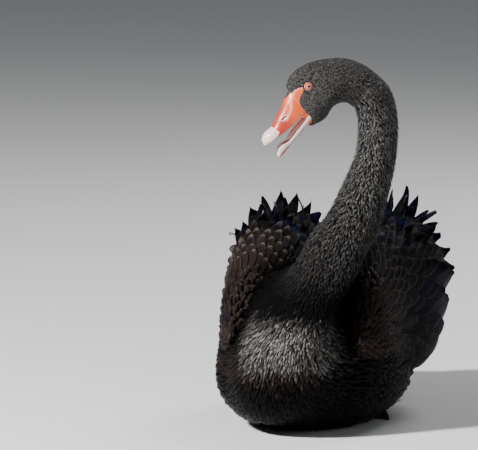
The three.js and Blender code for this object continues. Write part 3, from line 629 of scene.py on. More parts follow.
def make_skin(looks):
    """One skin under the feathers, from rump to bill, closed at both ends."""
    rings = np.concatenate([np.linspace(0, TORSO_SHARE, SKIN_RINGS[0], endpoint=False),
                            np.linspace(TORSO_SHARE, NECK_SHARE, SKIN_RINGS[1], endpoint=False),
                            np.linspace(NECK_SHARE, 1, SKIN_RINGS[2])])
    bm = bmesh.new()
    kept = [bm.verts.layers.float.new(name) for name in ("bare", "brown", "silver", "streak")]
    unwrap = bm.loops.layers.uv.new("OFBake")
    verts = bmesh.ops.create_grid(bm, x_segments=len(rings) - 1, y_segments=SKIN_SIDES, size=1)["verts"]
    flat = np.array([v.co[:2] for v in verts])
    t = np.interp(flat[:, 0], np.linspace(-1, 1, len(rings)), rings)
    angle = flat[:, 1] * math.pi - math.pi / 2
    # the end narrows to lie inside the bill's base
    narrowing = np.clip((t - 0.992) / 0.008, 0, 1) * 1.3
    at = shape_face(flesh_point(t, angle, coat_depth(t) + narrowing), t)
    at[:, 2] = np.maximum(at[:, 2], FLOOR_GAP["skin"])
    forward, up, _ = head_place(at)
    bare = np.where(t > NECK_SHARE, np.clip(bareness(at), -MOST_BARE, MOST_BARE), -MOST_BARE)
    # the rim that meets the bill is bare too, but for the forehead
    rim = (t > 0.9985) & (brow_place(SKIN_BROW, forward, up) < SKIN_BROW[2])
    bare = np.where(rim, MOST_BARE, bare)
    # the painted sheen is kept with the skin, as on its feathers
    _, brown, silver = plumage_colour(t, at)
    # the painted highlight from the eye is kept with the skin
    streak = np.where(t > NECK_SHARE, highlight_share(forward, up), 0)
    for v, p, *values in zip(verts, at * MM, bare, brown, silver, streak):
        v.co = p
        for layer, value in zip(kept, values):
            v[layer] = value
    # both edges of the seam under the belly keep their own side of the unwrap
    places = skin_unwrap(t, angle)
    places[flat[:, 1] > 0.999, 0] = 1 - UNWRAP_MARGIN
    places[flat[:, 1] < -0.999, 0] = UNWRAP_MARGIN
    place_of = dict(zip(verts, places))
    for face in bm.faces:
        for loop in face.loops:
            loop[unwrap].uv = place_of[loop.vert]
    bmesh.ops.remove_doubles(bm, verts=bm.verts, dist=1e-6)
    bmesh.ops.holes_fill(bm, edges=[e for e in bm.edges if e.is_boundary], sides=0)
    return bmesh_object("skin", bm, skin_finish(looks))


def shape_face(at, t):
    """Sink the eyes' sockets, and raise the brows, the cheeks and a fold behind the gape."""
    forward, up, side = head_place(at)
    flat = np.hypot(forward - EYE["forward"], up - EYE["up"])
    socket = mound(flat, 6.5) * -1.6
    brow = mound(flat - 9.5, 3.2) * np.clip((up - EYE["up"]) / 8, 0, 1) * 1.1
    cheek = mound(np.hypot(forward - 12, up + 22), 8)
    fold = mound(forward - 30 + (up + 30) * 0.25, 1.6) * mound(up + 33, 7) * 0.7
    push = np.where((t > NECK_SHARE) & (np.abs(side) > 5), socket + brow + cheek + fold, 0)
    return at + HEAD_LEFT * (np.sign(side) * push)[:, None]


def skin_finish(looks):
    f = Finish("skin")
    place = f.place()
    bare = f.number("bare")
    patch = f.noise(place, 260, 3)
    grain = f.noise(place, 1500, 3)
    crease = f.cracks(place, 900.0)
    mask = (bare + patch - 0.5).step(-0.4, 0.3)
    red = f.mix(grain * 0.3, looks.lore, (0.85, 0.2, 0.05))
    # a painted highlight in a streak from the eye down the bare skin
    streak = f.number("streak") * (0.35 + grain * 0.7)
    red = f.mix(streak, red, looks.gleam)
    dark = f.mix(patch, (0.003, 0.003, 0.0035), (0.008, 0.007, 0.007))
    dark = f.mix(f.number("brown"), dark, looks.brown)
    # the painted sheen, faintly, on the skin too
    dark = f.mix(f.number("silver") * patch * 0.12, dark, looks.silver)
    colour = f.mix(mask, dark, red)
    height = (grain * 0.4 + crease.step(0, 0.3) * 0.2) * (1 - mask * 0.5)
    f.flesh(0.06)
    return f.shade(Base_Color=colour, Roughness=0.55 - mask * 0.25 - streak * 0.1,
                   Normal=f.bump(height, 0.0002))


def plumage_size(t):
    """Length, width, spacing and lift of the small feathers, in millimetres, over the flesh."""
    knots = [0, 0.16, 0.28, 0.38, 0.45, TORSO_SHARE, 0.6, 0.68, NECK_SHARE, 0.8, 0.9, 1]
    length = np.interp(t, knots, [36, 27, 18, 12.5, 10.5, 10.5, 9.5, 7.8, 5.8, 4.0, 3.0, 2.1])
    width = np.interp(t, knots, [18, 13, 7.6, 4.2, 3.6, 3.9, 4.2, 3.5, 2.5, 1.7, 1.35, 1.1])
    space = np.interp(t, knots, [7.5, 5.8, 3.8, 2.6, 2.25, 2.3, 2.35, 2.0, 1.6, 1.16, 0.93, 0.8])
    lift = np.interp(t, knots, [2.5, 2.2, 1.5, 0.9, 0.8, 1.0, 1.6, 1.2, 0.7, 0.35, 0.25, 0.15])
    return length, width, space, lift


def scatter(surface, low, high, left, right, space_at, seed, tries=260000):
    """Evenly scattered feather roots on a surface, between bounds of its two shares."""
    rng = np.random.default_rng(seed)
    p = rng.uniform(low, high, tries)
    q = rng.uniform(left, right, tries)
    dp, dq = (high - low) * 0.002, (right - left) * 0.004
    along = (surface(p + dp, q, 0) - surface(p - dp, q, 0)) / (2 * dp)
    across = (surface(p, q + dq, 0) - surface(p, q - dq, 0)) / (2 * dq)
    area = np.linalg.norm(np.cross(along, across), axis=1) * (high - low) * (right - left) / tries
    space = space_at(p, q)
    keep = rng.uniform(0, 1, tries) < area / space**2 * 5
    p, q, space = p[keep], q[keep], space[keep]
    at = surface(p, q, 0).tolist()
    tree = KDTree(len(p))
    for i, where in enumerate(at):
        tree.insert(where, i)
    tree.balance()
    alive = np.ones(len(p), bool)
    chosen = []
    for i, where in enumerate(at):
        if alive[i]:
            chosen.append(i)
            for _, j, _ in tree.find_range(where, space[i]):
                alive[j] = False
    return p[chosen], q[chosen]


def small_vanes(name, surface, p, q, lie, size, depth, tint, bake, material, seed):
    """A coat of small closed vanes that lie along a surface; lie is 1 or -1 along its first share."""
    rng = np.random.default_rng(seed)
    n = len(p)
    spread = [(0.82, 1.18), (0.88, 1.12), (0.2, 1.7)]
    length, width, lift = [v * rng.uniform(*share, n) for v, share in zip(size, spread)]
    turn = rng.normal(0, 0.17, n)
    # three rows of left edge, shaft and right edge, then the tip
    rows = np.array([0.0, 0.36, 0.72, 1.0])
    per = 3 * (len(rows) - 1) + 1
    points = np.zeros((n, per, 3))
    uv = np.zeros((n, per, 2))
    at_p, at_q = p.copy(), q.copy()
    last, k = 0.0, 0
    for row, share in zip(rows, vane_width(rows)):
        # millimetres for each unit of the surface's two shares
        reach_p = np.linalg.norm(surface(at_p + 1e-3, at_q, 0) - surface(at_p - 1e-3, at_q, 0), axis=1) / 2e-3
        reach_q = np.linalg.norm(surface(at_p, at_q + 2e-2, 0) - surface(at_p, at_q - 2e-2, 0), axis=1) / 4e-2
        reach_p = np.maximum(reach_p, np.median(reach_p) * 0.1)
        reach_q = np.maximum(reach_q, 3)
        run = (row - last) * length
        at_p = at_p + lie * run * np.cos(turn) / reach_p
        at_q = at_q + run * np.sin(turn) / reach_q
        last = row
        sink = depth * (1 - row)**1.3 - lift * row**1.6
        for u in ([0.0] if row == 1 else [-1.0, 0.0, 1.0]):
            half = u * share * width / 2
            camber = (0.13 * width + 0.15) * (1 - abs(u)) * (1 - 0.55 * row)
            aside_p = at_p - lie * half * np.sin(turn) / reach_p
            aside_q = at_q + half * np.cos(turn) / reach_q
            points[:, k] = surface(aside_p, aside_q, sink - camber)
            uv[:, k] = (0.5 + u / 2, row)
            k += 1
    # feathers under the belly rest on the floor
    points[..., 2] += np.maximum(0, FLOOR_GAP["coat"] - points[..., 2].min(1))[:, None]
    quads = np.array([(0, 1, 4, 3), (1, 2, 5, 4), (3, 4, 7, 6), (4, 5, 8, 7), (2, 0, 3, 5), (5, 3, 6, 8)])
    tris = np.array([(6, 7, 9), (7, 8, 9), (8, 6, 9), (1, 0, 2)])
    base = np.arange(n)[:, None, None] * per
    side = np.cross(points[:, 2] - points[:, 0], points[:, 7] - points[:, 1])
    out = surface(p, q, -5.0) - surface(p, q, 5.0)
    flip = (np.sum(side * out, -1) < 0)[:, None, None]

    def placed(faces):
        faces = faces + base
        return np.where(flip, faces, faces[:, :, ::-1]).reshape(-1, faces.shape[2])

    numbers = {key: np.repeat(value, per) for key, value in tint.items()}
    numbers["tone"] = np.repeat(rng.uniform(0, 1, n), per)
    patches = bake[:, None] + (uv - 0.5) * FEATHER_PATCH
    return array_object(name, points.reshape(-1, 3) * MM, [placed(quads), placed(tris)], material,
                        {"vane": uv.reshape(-1, 2), "OFBake": patches.reshape(-1, 2)}, numbers)


def body_surface(t, angle, sink):
    return shape_face(flesh_point(t, angle, np.broadcast_to(sink, np.shape(t))), t)


def body_coat(name, low, high, density, seed, material):
    """The small feathers of one length of the flesh, from rump to bill."""
    def space_at(t, angle):
        return plumage_size(t)[2] / density

    t, angle = scatter(body_surface, low, high, -math.pi, math.pi, space_at, seed)
    root = flesh_point(t, angle, 0)
    face = t > NECK_SHARE
    # the feathers run back from the bill, so those ahead of the eye keep further off
    ahead = np.clip((head_place(root)[0] - EYE["forward"]) / 6, -1, 1)
    bald = face & ((bareness(root) > -0.2) | (from_eye(root) < 6.2 + ahead))
    ok = ~bald & (t > 0.012) & (t < 0.999) & (root[:, 2] > 1.5)
    t, angle, root = t[ok], angle[ok], root[ok]
    length, width, _, lift = plumage_size(t)
    rng = np.random.default_rng(seed + 50)
    # the borders of the markings, of the painted sheen and of the painted light run ragged through the
    # feathers
    fringe, brown, silver = plumage_colour(t, root + rng.normal(0, 6, root.shape))
    n = len(t)
    tint = {"fringe": fringe * rng.uniform(0.4, 1.3, n),
            "brown": np.clip(brown + rng.normal(0, 0.06, n), 0, 1),
            "silver": silver * rng.uniform(0.15, 1.15, n)}
    return small_vanes(name, body_surface, t, angle, -1, (length, width, lift), coat_depth(t), tint,
                       skin_unwrap(t, angle), material, seed + 100)


def wing_coat(sign, name, material):
    """The small rounded coverts over the front of one wing."""
    def surface(p, q, sink):
        angle = WING_INNER + (WING_LOWER - WING_INNER) * q
        return arch_point(sign, p * 100, angle, -np.asarray(sink))

    def space_at(p, q):
        return np.interp(p, stops, [3.2, 4, 5.6, 8])

    # stops along the wing from its wrist, in units of 100 mm
    stops = [-1.48, -1.4, -1, -0.4]
    p, q = scatter(surface, -1.485, -0.42, -0.22, 1.16, space_at, SEED + 31 + sign, 30000)
    n = len(p)
    size = (np.interp(p, stops, [11, 13, 17, 24]), np.interp(p, stops, [6.5, 7.5, 10, 14]), np.full(n, 2.4))
    depth = np.interp(p, stops, [0.3, 2.5, 2.5, 2.5])
    rng = np.random.default_rng(SEED + 41 + sign)
    tint = {"fringe": rng.uniform(0.35, 1.0, n), "brown": np.clip(0.75 + rng.normal(0, 0.2, n), 0, 1)}
    bake = unwrapped((q + 0.3) / 1.6, (p + 1.5) / 1.2)
    return small_vanes(name, surface, p, q, 1, size, depth, tint, bake, material, SEED + 51 + sign)


def plumage_colour(t, root):
    """Paleness of the small feathers' edges, partly painted light, their brownness and their painted sheen,
    over the body.
    """
    knots = [0, 0.2, 0.3, 0.42, TORSO_SHARE, 0.58, 0.64, NECK_SHARE, 0.85, 1]
    x, y, z = root.T
    # pale edges, strongest on the neck, where they also serve as painted highlights on the feather tips
    fringe = np.interp(t, knots, [0.3, 0.3, 0.15, 0.08, 0.2, 0.75, 0.9, 0.8, 0.7, 0.6])
    # painted light: the upper parts are paler, and the neck and head more so, as where light falls on them
    lit = np.interp(t, knots, [0, 0, 0, 0, 0.4, 0.65, 0.85, 0.85, 1.0, 1.1]) * soft_step(z, 175, 230)
    # a patch of painted sheen on the breast, and the brown wash along its lower edge
    patch = 1.4 * soft_step(z, 172, 138) * soft_step(z, 86, 106) * soft_step(y, -124, -178)
    patch *= soft_step(x, 76, 38) * soft_step(x, -64, -36)
    wash = soft_step(z, 114, 100) * soft_step(z, 72, 88) * soft_step(y, -110, -160) * soft_step(x, 62, 36)
    silver = np.maximum(lit, patch * (1 - 0.5 * wash))
    return fringe + 0.5 * patch, np.clip(0.02 + 0.6 * wash, 0, 1), silver


# Wings and tail

def vane_faces(rows, c):
    """Faces of a closed vane: its top's points row by row, then its underside's inner points."""
    top_count = (rows + 1) * (c + 1)

    def up(r, j):
        return r * (c + 1) + j

    def down(r, j):
        return up(r, j) if j in (0, c) else top_count + r * (c - 1) + j - 1

    cells = [(r, j) for r in range(rows) for j in range(c)]
    quads = [(up(r, j), up(r, j + 1), up(r + 1, j + 1), up(r + 1, j)) for r, j in cells]
    quads += [(down(r, j), down(r + 1, j), down(r + 1, j + 1), down(r, j + 1)) for r, j in cells]
    ends = [[up(0, j) for j in range(c, -1, -1)] + [down(0, j) for j in range(1, c)],
            [up(rows, j) for j in range(c + 1)] + [down(rows, j) for j in range(c - 1, 0, -1)]]
    return np.array(quads), np.array(ends)


def broad_vanes(name, frame_at, spec, material):
    """Thin closed vanes with a curved shaft, from a frame along the shaft and numbers by feather."""
    n = len(spec["half"])
    rows, columns = VANE_ROWS, VANE_COLUMNS
    u = np.linspace(-1, 1, columns + 1)
    top = np.zeros((n, rows + 1, columns + 1, 3))
    low = np.zeros_like(top)
    get = lambda key: spec.get(key, np.zeros(n))
    half, thick, roll, cup, twist = [get(key) for key in ("half", "thick", "roll", "cup", "twist")]
    taper, tip, pointed, frill, wave = [get(key) for key in ("taper", "tip", "pointed", "frill", "wave")]
    _, across, out = frame_at(0.2)
    along = frame_at(0.3)[0] - frame_at(0.1)[0]
    hand = np.sign(np.sum(np.cross(across, along) * out, -1))[:, None]
    for r in range(rows + 1):
        # rows crowd towards the tip
        s = 1 - (1 - r / rows) ** 1.4
        point, across, out = frame_at(s)
        shaft = unit(frame_at(s + 0.02)[0] - frame_at(s - 0.02)[0])
        turn = (roll + twist * s * s)[:, None]
        flat = unit(across - shaft * np.sum(across * shaft, -1, keepdims=True))
        above = np.cross(flat, shaft) * hand
        side = flat * np.cos(turn) + above * np.sin(turn)
        face = above * np.cos(turn) - flat * np.sin(turn)
        swell = np.minimum(1, 0.45 + 1.6 * s)
        past = np.maximum(0, (s - taper) / (1 - taper))
        width = half * swell * np.maximum(tip, np.maximum(0, 1 - past**2) ** (0.5 + 0.7 * pointed))
        body = (1 - 0.6 * np.abs(u) ** 2)[None] * (thick * (1 - 0.6 * s))[:, None] / 2
        body = np.where(np.abs(u) > 0.99, 0.0, body)
        ruffle = np.sin(6.3 * s * 1.6 + wave[:, None] + 1.7 * u)
        drop = -cup[:, None] * width[:, None] * u**2 + (frill * s)[:, None] * np.abs(u) ** 1.5 * ruffle
        middle = point[:, None] + side[:, None] * (u * width[:, None])[..., None]
        middle = middle + face[:, None] * drop[..., None]
        top[:, r] = middle + face[:, None] * body[..., None]
        low[:, r] = middle - face[:, None] * body[..., None]
    points = np.concatenate([top.reshape(n, -1, 3), low[:, :, 1:-1].reshape(n, -1, 3)], 1)
    per = points.shape[1]
    above_count = (rows + 1) * (columns + 1)
    grid = np.stack(np.broadcast_arrays((u / 2 + 0.5)[None], (np.arange(rows + 1) / rows)[:, None]), -1)
    uv = np.concatenate([grid.reshape(-1, 2), grid[:, 1:-1].reshape(-1, 2)])
    # turn the faces of those whose across, along and out run left-handed
    flip = hand[:, 0] < 0
    base = np.arange(n)[:, None, None] * per

    def placed(faces):
        many = faces + base
        return np.where(flip[:, None, None], many[:, :, ::-1], many).reshape(-1, faces.shape[1])

    quads, ends = vane_faces(rows, columns)
    numbers = {key: np.repeat(get(key), per) for key in ("tone", "fringe", "brown", "white")}
    below = np.arange(per) >= above_count
    numbers["under"] = (get("pale")[:, None] * below).reshape(-1)
    # each vane has a cell of the unwrap, its top on the left and its underside on the right
    side_count = math.ceil(math.sqrt(n))
    cell = np.stack([np.arange(n) % side_count, np.arange(n) // side_count], -1)
    sheet = uv * [0.44, 0.9] + [0.03, 0.05]
    sheet[above_count:, 0] += 0.5
    bake = (cell[:, None] + sheet) / side_count
    return array_object(name, points.reshape(-1, 3) * MM, [placed(quads), placed(ends)], material,
                        {"vane": np.tile(uv, (n, 1)), "OFBake": bake.reshape(-1, 2)}, numbers)


def by_feather(groups):
    """Join groups of numbers, each for one feather or for all of its group, into arrays by name."""
    found = {}
    for group in groups:
        n = max(np.size(v) for v in group.values())
        for key, v in group.items():
            found.setdefault(key, []).append(np.broadcast_to(np.asarray(v, float), (n,)))
    return {key: np.concatenate(v) for key, v in found.items()}


def wing_spec(sign):
    """Numbers for every feather of one wing."""
    rng = np.random.default_rng(SEED + (11 if sign > 0 else 12))
    groups = []
    for i, at in enumerate(WING_ROWS):
        length, space, lift, crest, side = [np.interp(at, ROW_STOPS, v) for v in ROW_NUMBERS.values()]
        _, _, _, half, rise, fall = track_by(WING, at + 0.4 * length)
        girth = (half + (rise + fall) / 2) * (WING_INNER - WING_LOWER) / 2
        count = max(5, round(girth / space))
        even = (np.arange(count) + 0.5 + 0.5 * (i % 2)) / (count + 0.5)
        # the quills crowd together on the crest
        turn = 2 * math.pi * (even - CREST)
        crowding = 0.4 * np.clip((at + 60) / 90, 0, 1)
        b = even - crowding * np.sin(turn) / (2 * math.pi)
        spacing = girth / count * (1 - crowding * np.cos(turn))
        on_crest = mound(b - CREST, CREST_WIDTH)
        on_side = mound(b - FLARE, FLARE_WIDTH) * (1 if sign > 0 else 0.15)
        wob = rng.uniform(-0.5, 0.5, (4, count))
        lazy = rng.uniform(0, 1, count) < 0.45
        curl = crest * on_crest * (1 + 0.75 * wob[0]) * np.where(lazy, 0.25, 1.15)
        curly = np.clip((curl - 7) / 9, 0, 1)
        flare = side * on_side * (1 + 0.5 * wob[3])
        wild = flare > 12
        # painted light: the right wing, on the side the light falls on, has paler edges and twice the brown
        # of the left
        fringe = np.interp(at, TINT_STOPS, [0.75, 0.65, 0.16, 0.04] if sign < 0 else [0.6, 0.3, 0.08, 0.02])
        brown = np.interp(at, TINT_STOPS[:3], [0.7, 0.5, 0.06]) + 0.25 * wob[0]
        groups.append(dict(
            y=at + 3 * wob[1], b=b + 0.006 * wob[2], drift=0, sink=3.5, rise=lift * (1 + 0.2 * wob[1]),
            length=length * (1 + 0.14 * wob[3]), thick=0.75, cup=0.12, curl=curl, flare=flare,
            half=np.maximum((0.85 + 0.05 * curly + 0.25 * (flare > 15)) * spacing, 4),
            twist=curly * 1.1 * np.sign(wob[2]) + 0.12 * wob[0], roll=0.1 + 0.06 * wob[1],
            pointed=0.45 * curly + 0.5 * wild, taper=0.62 - 0.08 * curly,
            tip=0.14 - 0.06 * np.maximum(curly, wild), frill=curly * 2.2, wave=rng.uniform(0, 6, count),
            tone=rng.uniform(0, 1, count), pale=0.25 + 0.75 * curly, fringe=fringe * (1 - 0.8 * curly),
            brown=np.clip(brown * (1 if sign < 0 else 0.5), 0, 1), white=0))
    # the white flight feathers, hidden under the rest
    count = 9
    share = np.linspace(0, 1, count)
    groups.append(dict(
        y=112 + 4 * share, b=0.5 + 0.36 * share, length=178 * (1 - 0.25 * share), half=13, thick=0.9,
        rise=2, curl=0, twist=0, roll=0.12, drift=-0.12, sink=12, cup=0.1, taper=0.7, tip=0.25, frill=0,
        wave=0, tone=rng.uniform(0, 1, count), pale=0, fringe=0.2, brown=0.1, white=1, pointed=0, flare=0))
    return by_feather(groups)


def wing_piece(sign, name, crest, material):
    """The long coverts and quills of one wing, those on its crest rolled up and forward."""
    spec = wing_spec(sign)
    spec["curl"] = spec["curl"] * crest
    hook = np.sign(spec["twist"]) * np.clip(spec["curl"] / 20, 0, 1) * 7
    start = 1 - np.minimum(0.6, spec["curl"] * 1.5 / spec["length"])
    roll_up = 2.3 * np.clip(spec["curl"] / 12, 0, 1)
    # a shaft's place is the sum of the short steps that lead to it
    steps = np.linspace(0, 1, 40)[:, None]

    def frame_at(s):
        along = np.clip((steps * s - start) / (1 - start + 1e-6), 0, 1)
        turn = roll_up * along**1.2
        run = spec["length"] * s * np.cos(turn).mean(0)
        lift = spec["length"] * s * np.sin(turn).mean(0)
        point, across, out = wing_frame(sign, spec["y"] + run, spec["b"] + spec["drift"] * s)
        height = -spec["sink"] + (spec["rise"] + spec["sink"]) * s + lift + spec["flare"] * max(0.0, s) ** 3
        return point + out * height[:, None] + across * (hook * along[-1] ** 2)[:, None], across, out

    mirrored = {**spec, "roll": spec["roll"] * sign, "twist": spec["twist"] * sign}
    return broad_vanes(name, frame_at, mirrored, material)


def arm_finish():
    f = Finish("wing_arm")
    grain = f.noise(f.place(), 300, 3)
    colour = f.mix(grain, (0.006, 0.006, 0.007), (0.015, 0.013, 0.014))
    return f.shade(Base_Color=colour, Roughness=0.6 + grain * 0.2, Normal=f.bump(grain, 0.0005))


def wing_arm(sign, name, material):
    """The arm under a wing's feathers."""
    stops = np.linspace(-148.5, 158, 48)
    angle = np.linspace(0, 2 * math.pi, 40, endpoint=False)
    rings = []
    for y in stops:
        # it fills out from the wrist and thins away under the quills
        depth = 3.5 * min(1, (y + 149) / 12) + 30 * max(0.0, 2.2 * max(0, (y - 20) / 138) - 1.2) ** 2
        rings.append(arch_point(sign, np.full(angle.shape, y), angle, -depth))
    bm = bmesh.new()
    tube(bm, np.array(rings) * MM)
    return bmesh_object(name, bm, material)


def tail_spec(rng):
    """Numbers for the tail's quills and the coverts over and under them."""
    groups = []
    for count, length, base, lift, width, spread in TAIL:
        share = (np.arange(count) + 0.5) / count - 0.5
        groups.append(dict(
            share=share, base=base + 12 * (1 - np.abs(share)), stack=4 - 9 * np.abs(share) + lift,
            length=length * (1 - 0.25 * np.abs(share)) * rng.uniform(0.95, 1.04, count), half=width,
            spread=spread, thick=0.9, roll=0.1 * np.sign(-share), cup=0.08, tip=0.12, taper=0.6,
            tone=rng.uniform(0, 1, count), fringe=0.45, brown=0.15, pale=0.3))
    return by_feather(groups)


def tail_piece(material):
    spec = tail_spec(np.random.default_rng(SEED + 21))
    angle = np.radians(2 * spec["spread"] * spec["share"])
    zero = np.zeros(len(angle))
    direction = np.stack([np.sin(angle), np.cos(angle), zero], -1)
    across = np.stack([np.cos(angle), -np.sin(angle), zero], -1)
    out = np.stack([zero, zero, zero + 1], -1)
    root = np.stack([70 * spec["share"], spec["base"], 124 + spec["stack"]], -1)

    def frame_at(s):
        drop = np.stack([zero, zero, zero + 3 * s - 8 * s * s], -1)
        return root + direction * (spec["length"] * s)[:, None] + drop, across, out

    return broad_vanes("tail_quills", frame_at, spec, material)


def tail_core(material):
    """The flesh and quill roots that the tail's feathers stand in."""
    angle = np.linspace(0, 2 * math.pi, 40, endpoint=False)
    rings = []
    for y, x, z, half, high in track(TAIL_CORE, np.linspace(0, 1, 20)):
        across = x + (half - 2) * np.cos(angle)
        rings.append(np.stack([across, np.full(angle.shape, y), z + (high - 1.5) * np.sin(angle)], -1))
    bm = bmesh.new()
    tube(bm, np.array(rings) * MM)
    return bmesh_object("tail_core", bm, material)


# Bill, eyes and feet

def bill_finish(name, looks, lower):
    """Waxy red with a whitish end above, pale flanks and rims below."""
    f = Finish(name)
    place = f.place()
    forward, up = f.number("forward"), f.number("up")
    patch = f.noise(place, 130, 3)
    fine = f.noise(place, 900, 3)
    red = f.mix(patch, looks.bill, looks.bill_deep)
    red = f.mix(fine * 0.25, red, (0.75, 0.16, 0.1))
    if lower:
        # red along the underside and, more faintly, inside the mouth
        pale = f.mix(patch * 0.2, (0.95, 0.88, 0.84), (0.85, 0.5, 0.44))
        tip = down_bill(forward, up).step(74, 82)
        outside = f.number("inner").step(0.6, 0.3) * 0.5 + 0.5
        colour = f.mix(f.number("rim").step(0.16, 0.26) * outside.most(tip) * 0.92, red, pale)
        crown = 0
    else:
        end = (f.number("end") + patch * 0.8 - 0.4).step(-0.3, 0.35)
        pale = f.mix(patch * 0.35, looks.band, (0.84, 0.5, 0.44))
        lore = f.mix(fine * 0.3, looks.lore, (0.85, 0.2, 0.05))
        colour = f.mix((forward - up * 0.35).step(64, 46), red, lore)
        slit = f.number("slit")
        # the painted highlight from the eye running on down the bill
        colour = f.mix(f.number("streak") * (0.35 + fine * 0.7), colour, looks.gleam)
        # worn pale flecks behind the nostril, and its pale rim
        flecks = patch.step(0.56, 0.64) * fine.step(0.4, 0.6) * slit.step(12, 3)
        rim = slit.step(0.9, 1.4) * slit.step(2.8, 1.8)
        colour = f.mix(rim.most(flecks) * (0.2 + fine * 0.6), colour, pale)
        # painted shade: the nostril's slit darkened to a deep red
        colour = f.mix(slit.step(1.2, 0.6), colour, (0.3, 0.006, 0.004))
        colour = f.mix(end * 0.95, colour, pale)
        # down of the forehead, which runs to a point on the ridge
        edge = RIDGE_BROW[2]
        crown = (brow_place(RIDGE_BROW, forward, up) + fine * 1.4).step(edge, edge + 0.8)
        down = f.mix(fine.step(0.3, 0.7), (0.006, 0.0055, 0.0055), (0.036, 0.034, 0.033))
        colour = f.mix(crown, colour, down)
    f.flesh(0.08)
    relief = f.bump(fine * 0.5 + patch * 1.5, 0.0002)
    return f.shade(Base_Color=colour, Roughness=0.24 + patch * 0.16 + fine * 0.06 + crown * 0.4,
                   Normal=relief, Coat_Weight=0.25 * (1 - crown), Coat_Roughness=0.2)


def tongue_finish():
    f = Finish("tongue")
    grain = f.noise(f.place(), 900, 3)
    colour = f.mix(grain, (0.78, 0.38, 0.33), (0.88, 0.55, 0.49))
    return f.shade(Base_Color=colour, Roughness=0.35 + grain * 0.15, Normal=f.bump(grain, 0.0003),
                   Coat_Weight=0.4)


def bill_half(name, rows, material, carve, waist, square, count=90, sides=72):
    """One half of the bill, lofted through its rings and then carved."""
    angle = np.linspace(0, 2 * math.pi, sides, endpoint=False)
    found = track(profile_rows(rows, waist), np.linspace(0, 1, count))
    rings = np.array([ring_point(row, angle, 0.0, square) for row in found])
    if carve:
        rings = carve(rings)
    bm = bmesh.new()
    rim, inner = [bm.verts.layers.float.new(key) for key in ("rim", "inner")]
    for loop in tube(bm, rings * MM):
        for v, a in zip(loop, angle):
            v[rim] = 0.5 + 0.5 * math.sin(a)
            v[inner] = max(0.0, math.sin(a)) ** 2
    # each point's place in the head's own frame, which the finish reads in millimetres
    forward, up, side = head_place(np.array([v.co[:] for v in bm.verts]) / MM)
    numbers = {
        "forward": forward, "up": up, "streak": highlight_share(forward, up),
        "end": np.clip(inside_depth(BILL_END, forward, up), -3, 3),
        "slit": np.where(np.abs(side) > 4, from_line(NOSTRIL, forward, up), 20),
    }
    for key, values in numbers.items():
        layer = bm.verts.layers.float.new(key)
        for v, number in zip(bm.verts, values):
            v[layer] = number
    return bmesh_object(name, bm, material)


def face_fit(rings):
    """How far the bill's base moves sideways to lie on the face and leave it without a step."""
    t, angle = np.meshgrid(np.linspace(0.86, 1, 160), np.linspace(-math.pi / 2, math.pi / 2, 160))
    t, angle = t.ravel(), angle.ravel()
    face_forward, face_up, face_side = head_place(shape_face(flesh_point(t, angle), t))
    tree = KDTree(len(t))
    for i, where in enumerate(zip(face_forward, face_up, np.zeros(len(t)))):
        tree.insert(where, i)
    tree.balance()
    forward, up, side = head_place(rings)
    first_forward, first_up, _ = head_place(rings[0].mean(axis=0))
    move = np.zeros(side.shape)
    for index in np.ndindex(side.shape):
        ahead = down_bill(forward[index] - first_forward, up[index] - first_up)
        weight = soft_step(ahead, 8, -1)
        out = abs(side[index])
        if weight > 0 and out > 3:
            near = tree.find_n((forward[index], up[index], 0), 4)
            if near[0][2] < 2.5:
                target = np.mean([face_side[i] for _, i, _ in near]) + 0.12
                weight *= min(1, (out - 3) / 5)
                move[index] = math.copysign((target - out) * weight, side[index])
    return move


def carve_upper(rings):
    """Fit the base to the face, slit the nostrils with raised rims and cut the nail's groove."""
    rings = rings + HEAD_LEFT * face_fit(rings)[..., None]
    forward, up, side = head_place(rings)
    gap = from_line(NOSTRIL, forward, up)
    push = -2.4 * mound(gap, 0.8) + 0.3 * mound(gap - 1.8, 0.7)
    push = np.sign(side) * np.where(np.abs(side) > 5, push, 0)
    groove = -0.45 * mound(0.2 * forward - up - 86, 0.8)
    outward = unit(rings - rings.mean(axis=1, keepdims=True))
    return rings + HEAD_LEFT * push[..., None] + outward * groove[..., None]


def carve_lower(rings):
    """Hollow the trough between the rims for the tongue."""
    angle = np.linspace(0, 2 * math.pi, rings.shape[1], endpoint=False)
    depth = np.where(np.sin(angle) > 0.25, np.sin(angle)**2 * 3.4, 0)
    share = np.linspace(0, 1, len(rings))
    ease = np.clip((0.93 - share) / 0.2, 0, 1) * np.clip(share / 0.15, 0, 1)
    down = unit(rings.mean(axis=1, keepdims=True) - rings)
    return rings + down * (depth[None] * ease[:, None])[..., None]


def eye_finish(looks):
    f = Finish("eye")
    ring = f.number("ring")
    spoke = f.noise(f.place(), 2600, 3)
    iris = f.mix(spoke, looks.iris, (0.8, 0.22, 0.15))
    iris = f.mix(ring.step(2.9, 2.1) * 0.8, iris, (0.92, 0.5, 0.42))
    colour = f.mix(ring.step(3.3, 4.0) * 0.8, iris, (0.2, 0.02, 0.015))
    colour = f.mix(ring.step(1.85, 1.7), colour, (0.001, 0.001, 0.001))
    return f.shade(Base_Color=colour, Roughness=0.12 + spoke * 0.03, Coat_Weight=0.35,
                   Coat_Roughness=0.02, IOR=1.33)


def lid_finish(looks):
    f = Finish("lid")
    place = f.place()
    patch = f.noise(place, 900, 3)
    fine = f.noise(place, 3000, 2)
    colour = f.mix(patch, looks.lid, (0.85, 0.3, 0.22))
    f.shade(Subsurface_Weight=0.1, Subsurface_Radius=(0.003, 0.001, 0.0005), Subsurface_Scale=0.4)
    return f.shade(Base_Color=colour, Roughness=0.4 + patch * 0.15, Normal=f.bump(fine + patch, 0.0002))


